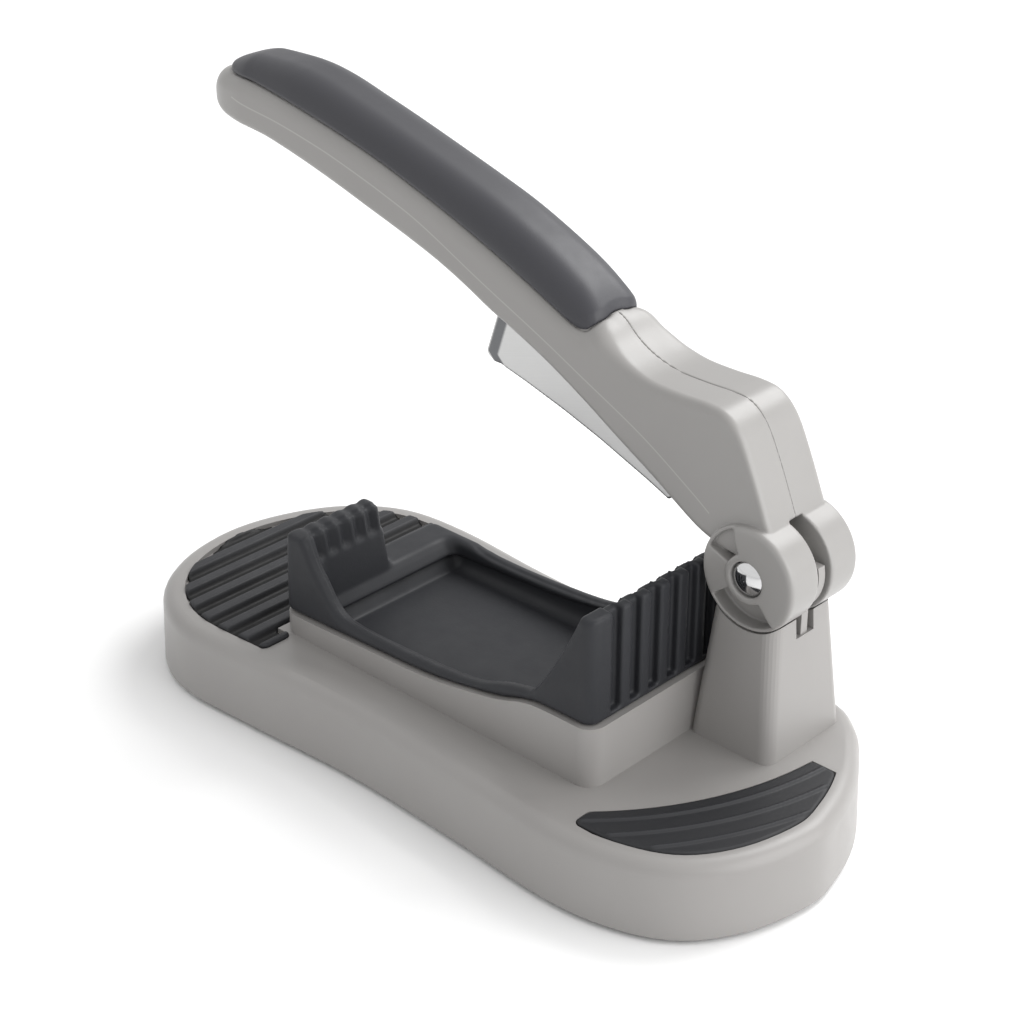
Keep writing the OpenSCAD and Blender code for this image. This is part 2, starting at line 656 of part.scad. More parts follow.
// blade: the root runs inside the handle, so its top follows the handle's bottom line
blade_root = 8;
blade_edge = [[0.045, 30.4], [0.2, 27.4], [0.41, 22.8], [0.62, 17.5], [0.89, 9.6]];
module blade_plan(margin) {
  heel = scaled(-44);
  end = 3.5 - blade_reach;
  edge = [for (p = blade_edge) [end + p[0] * (heel - end), p[1] - margin]];
  root = [for (k = [0 : 4]) let (x = heel + 6 - (blade_reach + heel - 5.6) * k / 4)
    [x, handle_low(x) + blade_root + margin]];
  polygon(concat(
    [[end, 30 - margin]], edge, [[heel, 6 - margin], [heel + 6 + margin, 10.5], [heel + 9 + margin, 16]],
    root,
    [[9 - blade_reach - margin, 63 + margin], [5.1 - blade_reach - margin, 48], [-blade_reach - margin, 33.4],
     [0.4 - blade_reach - margin, 32]]));
}
module blade_shape(half, margin) {
  translate([0, half, 0]) rotate([90, 0, 0]) linear_extrude(2 * half) blade_plan(margin);
}

// pins through the blade's root, and screws that join the two halves
blade_pin_spots = [for (d = [19.6, 55.6]) let (x = d - blade_reach)
  [x, handle_low(x) + blade_root / 2 + 0.5]];
screw_seat = 6;
handle_boss = 4;
handle_screw_spots = concat(
  [for (d = [-204, -144]) let (x = scaled(d)) [x, handle_low(x) + handle_wall + handle_boss + 0.5]],
  [let (x = scaled(-26)) [x, handle_top(x) - 17]]);

module handle_hollow() {
  half = half_handle - handle_wall;
  marks = [for (x = [-220 : 8 : -132]) scaled(x)];
  low = [for (x = marks) [x, handle_low(x) + handle_wall + 0.2]];
  high = [for (x = back(marks)) [x, handle_top(x) - half_handle - 1.2]];
  neck_top = handle_top(scaled(-30)) - 2 * handle_wall;
  difference() {
    union() {
      across(concat(low, high), -half, half);
      across([[-56, 0], [-20, 0], [-20, neck_top - 2], [-30, neck_top], [-48, neck_top], [-56, neck_top - 1]],
             -half, half);
    }
    for (p = handle_screw_spots) translate([p[0], 0, p[1]]) rod(handle_boss, -half_handle, half_handle);
  }
}

// region of the ear's outer face that lies lower than the proud flange
module ear_step_plan() {
  difference() {
    polygon([[-6.4, 26], [-5.2, 7.2], [0, 0], [3.2, -6.4], [6.8, -9.2], [10.4, -12.8], [19, -24],
             [-26, -26], [-26, 26]]);
    circle(ear_boss);
  }
}
module sector_plan(r0, r1, a0, a1) {
  difference() {
    intersection() {
      circle(r1);
      polygon(concat([[0, 0]], [for (k = [0 : 6]) let (a = a0 + (a1 - a0) * k / 6)
        [3 * r1 * cos(a), 3 * r1 * sin(a)]]));
    }
    circle(r0);
  }
}
ear_boss = 8.3;
ear_round = 3.2;
ear_step = 1;
pocket_depth = 3.4;
module ear(side) {
  arc = [for (a = [0 : 15 : 90])
    [ear_radius - ear_round + ear_round * cos(a), half_ears - ear_round + ear_round * sin(a)]];
  difference() {
    rotate([-90 * side, 0, 0]) rotate_extrude($fn = 96)
      polygon(concat([[0, half_slot], [ear_radius, half_slot]], arc, [[0, half_ears]]));
    face_cut(side, ear_step) ear_step_plan();
    face_cut(side, pocket_depth) sector_plan(ear_boss, ear_radius - 2.2, 114, 158);
    face_cut(side, pocket_depth) sector_plan(ear_boss, ear_radius - 2.2, 217, 308);
  }
}
module face_cut(side, depth) {
  translate([0, side > 0 ? half_ears + 1 : depth - half_ears, 0])
    rotate([90, 0, 0]) linear_extrude(depth + 1) children();
}

// handle halves, mirror images but for the screws' seats
pin_cover = 4;
head_clear = 0.35;
slot_clear = 0.2;
module handle_half(side) {
  difference() {
    union() {
      loft([for (x = stations) turned(half_section(x, side), side)]);
      ear(side);
    }
    rod(ear_radius + slot_clear, -half_slot, half_slot);
    blade_shape(half_blade + seat_gap, seat_gap);
    for (p = blade_pin_spots) translate([p[0], 0, p[1]])
      rod(blade_pin_diameter / 2 + bored_fit, pin_cover - half_handle, half_handle - pin_cover);
    handle_hollow();
    grip_shape(grip_thickness + seat_gap, 6, seat_gap);
    rod(pin_radius + bored_fit, -half_ears - 1, half_ears + 1);
    rod(head_radius + head_clear, -half_ears - 1, head_seat - half_ears);
    rod(head_radius + head_clear, half_ears - head_seat, half_ears + 1);
    for (p = handle_screw_spots) translate([p[0], 0, p[1]]) {
      rod(screw_diameter / 2 - 0.04, pin_cover + 0.5 - half_handle, tiny);
      rod(screw_diameter / 2 + 0.2, 0, half_handle);
      rod(screw_head / 2 + 0.3, half_handle - screw_seat, half_handle + 1);
    }
  }
}

module handle_near_half() color([0.64, 0.63, 0.62]) at_hinge() handle_half(-1);
module handle_far_half() color([0.64, 0.63, 0.62]) at_hinge() handle_half(1);

module handle_screw(p) color([0.7, 0.71, 0.72]) {
  seat = half_handle - screw_seat;
  at_hinge() translate([p[0], 0, p[1]]) difference() {
    union() {
      rod(screw_head / 2, seat + 0.05, seat + 2.2);
      rod(screw_diameter / 2 - 0.06, pin_cover + 2 - half_handle, seat + 0.1);
    }
    for (a = [0, 90]) rotate([0, a, 0]) translate([-1.6, seat + 1.2, -0.4]) cube([3.2, 2, 0.8]);
  }
}
module handle_screw_1() handle_screw(handle_screw_spots[0]);
module handle_screw_2() handle_screw(handle_screw_spots[1]);
module handle_screw_3() handle_screw(handle_screw_spots[2]);

module soft_grip() color([0.27, 0.27, 0.29]) at_hinge() grip_shape(grip_thickness, grip_lift, 0);

module blade() color([0.8, 0.8, 0.8]) at_hinge() difference() {
  blade_shape(half_blade, 0);
  for (p = blade_pin_spots) translate([p[0], 0, p[1]]) rod(blade_pin_diameter / 2 + bored_fit, -5, 5);
}

module blade_pin(p) color([0.7, 0.71, 0.72]) at_hinge()
  translate([p[0], 0, p[1]])
    rod(blade_pin_diameter / 2, pin_cover + seat_gap - half_handle, half_handle - pin_cover - seat_gap);
module blade_pin_1() blade_pin(blade_pin_spots[0]);
module blade_pin_2() blade_pin(blade_pin_spots[1]);

// domed head of the pin, with its flat side at the bottom of the recess
module dome(side, bore) {
  r = head_radius;
  crown = 1.9;
  flat = head_height - crown;
  ball = (r * r + crown * crown) / (2 * crown);
  steps = 8;
  rim_angle = asin(r / ball);
  arc = [for (k = [0 : steps - 1]) let (a = rim_angle * (1 - k / steps))
    [ball * sin(a), flat + crown - ball + ball * cos(a)]];
  translate([0, side * (half_ears - head_seat + bored_fit), 0]) rotate([-90 * side, 0, 0]) difference() {
    rotate_extrude() polygon(concat([[0, 0], [r, 0]], arc, [[0, head_height]]));
    translate([0, 0, -1]) cylinder(r = bore, h = bore > 0 ? 2.4 : tiny);
  }
}

module hinge_pin() color([0.85, 0.85, 0.86]) at_hinge() {
  reach = half_ears - head_seat;
  dome(-1, 0);
  rod(pin_radius, -reach - 0.5, reach + 1.2);
}

module hinge_pin_cap() color([0.85, 0.85, 0.86]) at_hinge() dome(1, pin_radius + bored_fit);

module thrust_washer(side) color([0.82, 0.82, 0.8]) at_hinge() {
  near = half_tongue + 0.04;
  far = half_slot - 0.04;
  difference() {
    rod(pin_radius + 5, side > 0 ? near : -far, side > 0 ? far : -near);
    rod(pin_radius + running_gap, -slot_width, slot_width);
  }
}
module thrust_washer_near() thrust_washer(-1);
module thrust_washer_far() thrust_washer(1);

base_shell();
base_cover();
base_screw_1();
base_screw_2();
base_screw_3();
base_screw_4();
foot_1();
foot_2();
foot_3();
foot_4();
tray();
tip_end_pad();
hinge_end_pad();
handle_near_half();
handle_far_half();
handle_screw_1();
handle_screw_2();
handle_screw_3();
soft_grip();
blade();
blade_pin_1();
blade_pin_2();
hinge_pin();
hinge_pin_cap();
thrust_washer_near();
thrust_washer_far();
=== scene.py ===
# %% [markdown]
# # A bench opener with a long lever, dressed for its portrait
# The exact solids come from the CAD frame. This notebook gives them their looks: soft rubber parts, the
# moulded handle and the ground blade are meshed again from smooth fields, every finish is worked out from
# nodes, and the camera stands where the photographer stood. Lengths are written in millimetres and turned
# into metres only where a mesh, a modifier or a node needs them. Lamps are placed in metres at once.

# %% Kit and frame
import math

import bpy
import numpy as np
from mathutils import Matrix, Vector


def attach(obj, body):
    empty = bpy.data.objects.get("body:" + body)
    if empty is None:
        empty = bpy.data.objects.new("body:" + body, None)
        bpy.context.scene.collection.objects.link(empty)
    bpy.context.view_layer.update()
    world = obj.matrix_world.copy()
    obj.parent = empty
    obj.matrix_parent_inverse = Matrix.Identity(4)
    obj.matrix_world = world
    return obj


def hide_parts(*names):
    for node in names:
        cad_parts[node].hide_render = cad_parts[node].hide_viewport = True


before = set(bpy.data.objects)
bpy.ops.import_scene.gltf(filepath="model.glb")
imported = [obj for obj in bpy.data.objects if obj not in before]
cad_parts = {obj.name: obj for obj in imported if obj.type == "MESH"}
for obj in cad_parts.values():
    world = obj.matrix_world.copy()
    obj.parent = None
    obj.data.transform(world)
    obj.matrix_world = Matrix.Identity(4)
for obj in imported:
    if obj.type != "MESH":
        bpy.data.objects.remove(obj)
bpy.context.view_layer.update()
MM = 0.001
scene = bpy.context.scene
print("nodes in the frame:", len(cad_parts))

# %% [markdown]
# ## Where the camera stands
# A long lens from the near right, 43.5 degrees round and 28 degrees up. Blender could aim a camera with a
# Track To constraint, but the photo's view isn't aimed at the object's middle, so the place and the three
# directions right, up and back are given as numbers. A camera looks along its own minus Z.

# %% Camera
def look(azimuth, elevation):
    """Directions right, up and back of a camera: azimuth turns round Z, elevation is above the horizon."""
    a, e = math.radians(azimuth), math.radians(elevation)
    right = np.array([math.cos(a), math.sin(a), 0.0])
    back = np.array([math.sin(a) * math.cos(e), -math.cos(a) * math.cos(e), math.sin(e)])
    return right, np.cross(back, right), back


AZIMUTH, ELEVATION = 43.5, 28.0
CAMERA_PLACE = (450.981, -456.08, 420.506)
FOCAL_PIXELS, FRAME_PIXELS = 2200.0, 1024.0
camera_data = bpy.data.cameras.new("photo_camera")
camera_data.sensor_width = 36.0
camera_data.lens = FOCAL_PIXELS / FRAME_PIXELS * camera_data.sensor_width
camera_data.clip_start = 0.05
camera_data.clip_end = 20.0
camera = bpy.data.objects.new("photo_camera", camera_data)
scene.collection.objects.link(camera)
place = np.eye(4)
place[:3, :3] = np.stack(look(AZIMUTH, ELEVATION), axis=1)
place[:3, 3] = np.array(CAMERA_PLACE) * MM
camera.matrix_world = Matrix(place.tolist())
scene.camera = camera
print("camera at", place[:3, 3].round(3), "with a lens of", round(camera_data.lens, 1), "mm")

# %% [markdown]
# ## Soft studio light
# Two large round lamps: the key from the right, which lights the hinge end's faces, and one from above
# and behind for the tops. Spot lamps would draw hard shadows that the photo hasn't got. The world is dim
# for light that falls on matt surfaces, but white for the camera's own rays and for mirrored ones, so the
# background is paper white, steel shows it, and the greys keep their depth.

# %% Lamps and world
MIDDLE = Vector((0, 0, 0.05))
WORLD_DIM, WORLD_WHITE = 0.76, 1.0


def add_lamp(name, spot, size, power):
    """A round area lamp in metres and watts that faces the middle of the object."""
    data = bpy.data.lights.new(name, "AREA")
    data.shape = "DISK"
    data.size = size
    data.energy = power
    lamp = bpy.data.objects.new(name, data)
    scene.collection.objects.link(lamp)
    lamp.location = spot
    lamp.rotation_mode = "QUATERNION"
    lamp.rotation_quaternion = (MIDDLE - Vector(spot)).to_track_quat("-Z", "Y")
    return lamp


add_lamp("key", (1.1, 0.3, 0.5), 1.2, 9.0)
add_lamp("rear", (0.15, 0.9, 1.1), 0.9, 12.0)
world = bpy.data.worlds.new("studio")
scene.world = world
world.use_nodes = True
background = world.node_tree.nodes["Background"]
background.inputs["Color"].default_value = (1.0, 1.0, 1.0, 1.0)
rays = world.node_tree.nodes.new("ShaderNodeLightPath")
power = world.node_tree.nodes.new("ShaderNodeMapRange")
power.inputs["To Min"].default_value = WORLD_DIM
power.inputs["To Max"].default_value = WORLD_WHITE
seen = rays.outputs["Is Camera Ray"]
for kind in ("Is Glossy Ray", "Is Transmission Ray"):
    either = world.node_tree.nodes.new("ShaderNodeMath")
    either.operation = "MAXIMUM"
    world.node_tree.links.new(seen, either.inputs[0])
    world.node_tree.links.new(rays.outputs[kind], either.inputs[1])
    seen = either.outputs[0]
world.node_tree.links.new(seen, power.inputs["Value"])
world.node_tree.links.new(power.outputs[0], background.inputs["Strength"])
scene.view_settings.view_transform = "Standard"

# %% [markdown]
# ## A small kit for finishes
# Colours are written as the hex codes one would read off a screen and turned into linear light by one
# function. Another adds a node, sets its values and makes its links in one call. Pattern sizes are given
# as real lengths: a noise of scale s repeats about every 1 / s metres.

# %% Node helpers
def linear(code):
    """The sRGB hex code as linear light: below 0.04045 a twelfth, above it the 2.4 power law."""
    parts = [int(code[i:i + 2], 16) / 255 for i in (1, 3, 5)]
    return tuple(p / 12.92 if p <= 0.04045 else ((p + 0.055) / 1.055) ** 2.4 for p in parts) + (1.0,)


def add(tree, kind, inputs=None, **settings):
    """A new node of that kind; inputs maps socket names or numbers to a value or to a node's output."""
    made = tree.nodes.new("ShaderNode" + kind)
    for key, value in settings.items():
        setattr(made, key, value)
    for key, value in (inputs or {}).items():
        if isinstance(value, bpy.types.NodeSocket):
            tree.links.new(value, made.inputs[key])
        else:
            made.inputs[key].default_value = value
    return made


def per_mm(length):
    """The texture scale whose pattern repeats about every length millimetres."""
    return 1.0 / (length * MM)


def new_material(name):
    """An empty material with its Principled surface: returns the material, its tree and the surface node."""
    made = bpy.data.materials.new(name)
    made.use_nodes = True
    return made, made.node_tree, made.node_tree.nodes["Principled BSDF"]


print("one millimetre of noise has scale", per_mm(1.0))

# %% [markdown]
# ## Moulded plastic and rubber
# The base and the handle are ABS, moulded in a satin tool: the eye sees an even warm grey with a broad
# soft sheen. The tray, both pads and the grip are thermoplastic rubber, nearly black and duller, and the
# thrust washers are white acetal. All are one recipe. A broad, very weak noise drifts the colour as
# moulding does, a second one drifts the gloss as handling does, and a fine grain roughens the surface
# through a bump of one to three hundredths of a millimetre. A real satin tool's grain is about a tenth of
# a millimetre, too fine to show from here, so it is drawn at half a millimetre and more. An image texture
# could hold the grain too, but it would need unwrapping and stay at one size.

# %% Moulded finish
COLOUR_DRIFT, GLOSS_DRIFT = 38, 11


def moulded(name, light, dark, gloss, grain, depth, shine=0.5, painted_shade_heights=None, line=None):
    """Plastic or rubber: colour between two codes, roughness between two values, grain and depth in mm.
    Between the two heights given for the painted shade, in mm, the colour darkens downwards, painted shade in
    grooves.
    Where the attribute line is 0 runs a pale hairline on the mould's parting, painted as the highlight on its
    ridge."""
    made, tree, surface = new_material(name)
    where = add(tree, "TexCoord").outputs["Object"]
    drift = add(tree, "TexNoise", {"Vector": where, "Scale": per_mm(COLOUR_DRIFT), "Detail": 3.0,
                                   "Roughness": 0.55})
    tint = add(tree, "Mix", {"Factor": drift.outputs["Fac"], 6: linear(dark), 7: linear(light)},
               data_type="RGBA")
    colour = tint.outputs[2]
    # Painted shade: the colour turns nearly black towards the lower of the two heights, which darkens the
    # grooves.
    if painted_shade_heights:
        height = add(tree, "SeparateXYZ", {"Vector": where})
        low = add(tree, "MapRange", {"Value": height.outputs["Z"], "From Min": painted_shade_heights[0] * MM,
                                     "From Max": painted_shade_heights[1] * MM, "To Min": 1.0, "To Max": 0.0})
        colour = add(tree, "Mix", {"Factor": low.outputs[0], 6: colour, 7: linear("#0b0b0c")},
                     data_type="RGBA").outputs[2]
    # Painted highlight: a pale hairline along the mould's parting, where its ridge would catch the light.
    if line:
        away = add(tree, "Attribute", attribute_name=line)
        near = add(tree, "Math", {0: away.outputs["Fac"]}, operation="ABSOLUTE")
        faint = add(tree, "MapRange", {"Value": near.outputs[0], "From Min": 0.14, "From Max": 0.34,
                                       "To Min": 0.38, "To Max": 0.0})
        colour = add(tree, "Mix", {"Factor": faint.outputs[0], 6: colour, 7: linear("#c4c2bf")},
                     data_type="RGBA").outputs[2]
    tree.links.new(colour, surface.inputs["Base Color"])
    touch = add(tree, "TexNoise", {"Vector": where, "Scale": per_mm(GLOSS_DRIFT), "Detail": 4.0,
                                   "Roughness": 0.6})
    worn = add(tree, "MapRange", {"Value": touch.outputs["Fac"], "From Min": 0.3, "From Max": 0.7,
                                  "To Min": gloss[0], "To Max": gloss[1]})
    tree.links.new(worn.outputs[0], surface.inputs["Roughness"])
    fine = add(tree, "TexNoise", {"Vector": where, "Scale": per_mm(grain), "Detail": 2.0, "Roughness": 0.5})
    bump = add(tree, "Bump", {"Height": fine.outputs["Fac"], "Strength": 1.0, "Distance": depth * MM})
    tree.links.new(bump.outputs["Normal"], surface.inputs["Normal"])
    surface.inputs["Specular IOR Level"].default_value = shine
    return made


shell_plastic = moulded("shell_plastic", "#979593", "#928f8d", (0.33, 0.41), 0.5, 0.010)
handle_plastic = moulded("handle_plastic", "#989694", "#93918f", (0.30, 0.38), 0.5, 0.010,
                         line="parting")
cover_plastic = moulded("cover_plastic", "#57575a", "#505053", (0.45, 0.55), 0.6, 0.02)
tray_rubber = moulded("tray_rubber", "#2b2c30", "#26272a", (0.46, 0.58), 0.7, 0.03, 0.3)
# The pads carry painted shade that darkens them below 29 mm, deepest at 27.3 mm in the grooves.
pad_rubber = moulded("pad_rubber", "#2e2f32", "#29292c", (0.5, 0.62), 0.6, 0.03, 0.35,
                     painted_shade_heights=(27.3, 29.0))
grip_rubber = moulded("grip_rubber", "#36363b", "#323237", (0.42, 0.5), 0.6, 0.02)
foot_rubber = moulded("foot_rubber", "#222224", "#1c1c1e", (0.6, 0.7), 0.8, 0.03)
washer_plastic = moulded("washer_plastic", "#d8d8d2", "#d0d0ca", (0.4, 0.5), 0.5, 0.01)
print("moulded finishes ready")

# %% [markdown]
# ## Steel
# The blade is stainless sheet, brushed along its length, which gives a silky streak. That is a noise
# stretched along the brush: it stays nearly the same for centimetres one way and changes every quarter of
# a millimetre the other, which is coarser than real brush lines, so that they show. The same stripes drive
# roughness, tint and bump. The hinge pin's head is polished and mirrors the studio, with only faint
# handling marks, and the screws are plated steel.

# %% Steel finish
def brushed(name, light, dark, gloss, along, across, depth, turn=0.0, ground=None):
    """Metal brushed along X after a turn round Y: stripes that are along mm long and across mm wide drive
    colour, gloss and bump. The attribute ground is 0 on the brushed face and 1 on a ground bevel, which
    is painted darker, a painted reflection of its tilted face."""
    made, tree, surface = new_material(name)
    where = add(tree, "TexCoord").outputs["Object"]
    turned = add(tree, "Mapping", {"Vector": where, "Rotation": (0.0, turn, 0.0)})
    scaled = add(tree, "Mapping", {"Vector": turned.outputs[0],
                                   "Scale": (per_mm(along), per_mm(across), per_mm(across))})
    stripes = add(tree, "TexNoise", {"Vector": scaled.outputs[0], "Scale": 1.0, "Detail": 4.0,
                                     "Roughness": 0.65})
    tint = add(tree, "Mix", {"Factor": stripes.outputs["Fac"], 6: linear(dark), 7: linear(light)},
               data_type="RGBA")
    tree.links.new(tint.outputs[2], surface.inputs["Base Color"])
    worn = add(tree, "MapRange", {"Value": stripes.outputs["Fac"], "From Min": 0.3, "From Max": 0.7,
                                  "To Min": gloss[0], "To Max": gloss[1]})
    tree.links.new(worn.outputs[0], surface.inputs["Roughness"])
    bump = add(tree, "Bump", {"Height": stripes.outputs["Fac"], "Strength": 1.0, "Distance": depth * MM})
    tree.links.new(bump.outputs["Normal"], surface.inputs["Normal"])
    surface.inputs["Metallic"].default_value = 1.0
    # Painted reflection: the ground bevel and the broken rim are mixed to a darker grey.
    if ground:
        cut = add(tree, "Attribute", attribute_name=ground)
        shade = add(tree, "Mix", {"Factor": cut.outputs["Fac"], 6: tint.outputs[2], 7: linear("#6e6f71")},
                    data_type="RGBA")
        tree.links.new(shade.outputs[2], surface.inputs["Base Color"])
    return made


BLADE_SLOPE = math.radians(17)
blade_steel = brushed("blade_steel", "#d2d2d1", "#c0c0c0", (0.30, 0.42), 45, 0.25, 0.004, BLADE_SLOPE,
                      "ground")
pin_steel = brushed("pin_steel", "#d6d6d6", "#c6c6c7", (0.07, 0.14), 6, 1.5, 0.002)
screw_steel = brushed("screw_steel", "#b6b7b8", "#a4a5a6", (0.25, 0.38), 4, 0.4, 0.005)
print("steel finishes ready")

# %% [markdown]
# ## CAD nodes that are shown as they are
# The base, its cover, the screws, pins and washers are right as solids, so their shapes stay and only
# modifiers go on top. A weld joins the facets' shared points, a small node group shades gentle edges
# smooth, and a bevel of a few tenths of a millimetre gives every edge the soft line of a moulded one.
# Rounding the solids themselves would do it too, at the cost of many more CAD faces.

# %% Smooth shading as a node group
SMOOTH_BELOW, BEVEL_ABOVE = 30, 32


def smooth_group(limit):
    """A node group that shades all faces smooth and marks the edges steeper than limit degrees as sharp."""
    group = bpy.data.node_groups.new("smooth_faces", "GeometryNodeTree")
    group.interface.new_socket("Geometry", in_out="INPUT", socket_type="NodeSocketGeometry")
    group.interface.new_socket("Geometry", in_out="OUTPUT", socket_type="NodeSocketGeometry")
    start, end = group.nodes.new("NodeGroupInput"), group.nodes.new("NodeGroupOutput")
    faces = group.nodes.new("GeometryNodeSetShadeSmooth")
    edges = group.nodes.new("GeometryNodeSetShadeSmooth")
    edges.domain = "EDGE"
    angle = group.nodes.new("GeometryNodeInputMeshEdgeAngle")
    gentle = group.nodes.new("FunctionNodeCompare")
    gentle.operation = "LESS_THAN"
    gentle.inputs[1].default_value = math.radians(limit)
    for source, target in ((start.outputs[0], faces.inputs["Geometry"]),
                           (faces.outputs[0], edges.inputs["Geometry"]),
                           (angle.outputs[0], gentle.inputs[0]),
                           (gentle.outputs[0], edges.inputs["Shade Smooth"]),
                           (edges.outputs[0], end.inputs[0])):
        group.links.new(source, target)
    return group


smooth_faces = smooth_group(SMOOTH_BELOW)
print("edges steeper than", SMOOTH_BELOW, "degrees stay sharp")

# %% Dress the CAD nodes
def soften(piece, width, segments=2):
    """Welded points, smooth shading, bevelled edges, and normals that lean to the large faces."""
    weld = piece.modifiers.new("weld", "WELD")
    weld.merge_threshold = 0.01 * MM
    shade = piece.modifiers.new("shade", "NODES")
    shade.node_group = smooth_faces
    bevel = piece.modifiers.new("bevel", "BEVEL")
    bevel.width = width * MM
    bevel.segments = segments
    bevel.limit_method = "ANGLE"
    bevel.angle_limit = math.radians(BEVEL_ABOVE)
    bevel.use_clamp_overlap = True
    lean = piece.modifiers.new("lean", "WEIGHTED_NORMAL")
    lean.keep_sharp = True


finish_of = {"base_shell": (shell_plastic, 0.6), "base_cover": (cover_plastic, 0.3),
             "base_screw": (screw_steel, 0.1), "handle_screw": (screw_steel, 0.1),
             "blade_pin": (screw_steel, 0.1), "hinge_pin": (pin_steel, 0.15),
             "thrust_washer": (washer_plastic, 0.1)}
for name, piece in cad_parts.items():
    for start, (finish, width) in finish_of.items():
        if name.startswith(start):
            for holder in piece.material_slots:
                holder.material = finish
            soften(piece, width)
print("dressed:", sorted(finish_of))

# %% [markdown]
# ## Shapes from fields
# A field is a number for every point of a box: negative inside the piece, positive outside, and close
# to the real distance near the surface. Fields are joined by maximum and minimum. With a smooth maximum,
# the edge where two faces meet comes out rounded by a chosen amount, which is how rubber leaves a mould.
# Booleans and a bevel could build the same pieces, but bevels fail where many grooves meet.

# %% Field helpers
def smax(a, b, k):
    """Smooth maximum: the larger of two fields, blended over a width k so that their edge is rounded."""
    h = np.clip(0.5 + 0.5 * (a - b) / k, 0.0, 1.0)
    return b + (a - b) * h + k * h * (1.0 - h)


def smin(a, b, k):
    """Smooth minimum, the joint of two solids with a fillet of width k."""
    return -smax(-a, -b, k)


def lines(*spans):
    """Grid lines in mm from spans (start, stop, step), the last stop included."""
    return np.concatenate([np.arange(a, b - 1e-6, s) for a, b, s in spans] + [[spans[-1][1]]])


def smooth_line(x, marks):
    """Height at x on cubic pieces through the marks; the slope at a mark is that of its two neighbours."""
    m = np.array(marks, float)
    slope = np.gradient(m[:, 1], m[:, 0])
    slope[1:-1] = (m[2:, 1] - m[:-2, 1]) / (m[2:, 0] - m[:-2, 0])
    i = np.clip(np.searchsorted(m[:, 0], x, side="right") - 1, 0, len(m) - 2)
    h = m[i + 1, 0] - m[i, 0]
    u = np.clip((x - m[i, 0]) / h, 0.0, 1.0)
    return (m[i, 1] * (1 + 2 * u) * (1 - u) ** 2 + m[i + 1, 1] * u * u * (3 - 2 * u)
            + slope[i] * h * u * (1 - u) ** 2 + slope[i + 1] * h * u * u * (u - 1))


def rect_gap(x, y, x0, x1, y0, y1, r):
    """Signed distance in the plane to a rectangle with corners of radius r."""
    qx = np.abs(x - (x0 + x1) / 2) - ((x1 - x0) / 2 - r)
    qy = np.abs(y - (y0 + y1) / 2) - ((y1 - y0) / 2 - r)
    return np.hypot(np.maximum(qx, 0), np.maximum(qy, 0)) + np.minimum(np.maximum(qx, qy), 0) - r


def poly_gap(x, y, points):
    """Signed distance in the plane to a polygon: nearest edge, negative where a ray crosses an odd number."""
    p = np.array(points, float)
    q = np.roll(p, -1, axis=0)
    x, y = np.broadcast_arrays(x, y)
    near = np.full(x.shape, 1e9)
    odd = np.zeros(x.shape, bool)
    for (ax, ay), (bx, by) in zip(p, q):
        dx, dy = bx - ax, by - ay
        t = np.clip(((x - ax) * dx + (y - ay) * dy) / (dx * dx + dy * dy), 0.0, 1.0)
        near = np.minimum(near, (x - ax - t * dx) ** 2 + (y - ay - t * dy) ** 2)
        if dy != 0:
            odd ^= ((ay > y) != (by > y)) & (x < ax + (y - ay) * dx / dy)
    return np.where(odd, -1.0, 1.0) * np.sqrt(near)


def even(field, xs, ys, zs):
    """The field divided by its own steepness, which makes it close to a distance again."""
    gx, gy, gz = np.gradient(field, xs, ys, zs)
    return field / np.maximum(np.sqrt(gx * gx + gy * gy + gz * gz), 0.4)


print("a smooth maximum of two equal fields lifts them by a quarter of k:", smax(0.0, 0.0, 1.0))

# %% [markdown]
# ## From a field to a mesh
# Every grid cell that the surface passes through gets one point, the mean of the crossings on its edges.
# Every grid edge with a change of sign gets one face from the four cells round it. The points are then
# pulled onto the surface along the field's gradient, and the same gradient gives the shading normals.

# %% Reading a field between its grid points
def sample(field, axes, points):
    """The field at free points: the eight corners of each point's cell, weighted by nearness."""
    index, part = [], []
    for k, axis in enumerate(axes):
        i = np.clip(np.searchsorted(axis, points[:, k], side="right") - 1, 0, len(axis) - 2)
        index.append(i)
        part.append(np.clip((points[:, k] - axis[i]) / (axis[i + 1] - axis[i]), 0.0, 1.0))
    total = 0.0
    for corner in np.ndindex(2, 2, 2):
        weight = np.prod([part[k] if corner[k] else 1 - part[k] for k in range(3)], axis=0)
        total = total + weight * field[index[0] + corner[0], index[1] + corner[1], index[2] + corner[2]]
    return total


ball_lines = lines((-3, 3, 0.5))
ball = np.sqrt(ball_lines[:, None, None] ** 2 + ball_lines[None, :, None] ** 2
               + ball_lines[None, None, :] ** 2) - 2
print("a ball of radius 2 mm, read 2.3 mm from its middle, gives",
      sample(ball, (ball_lines,) * 3, np.array([[2.3, 0.0, 0.0]])).round(2))

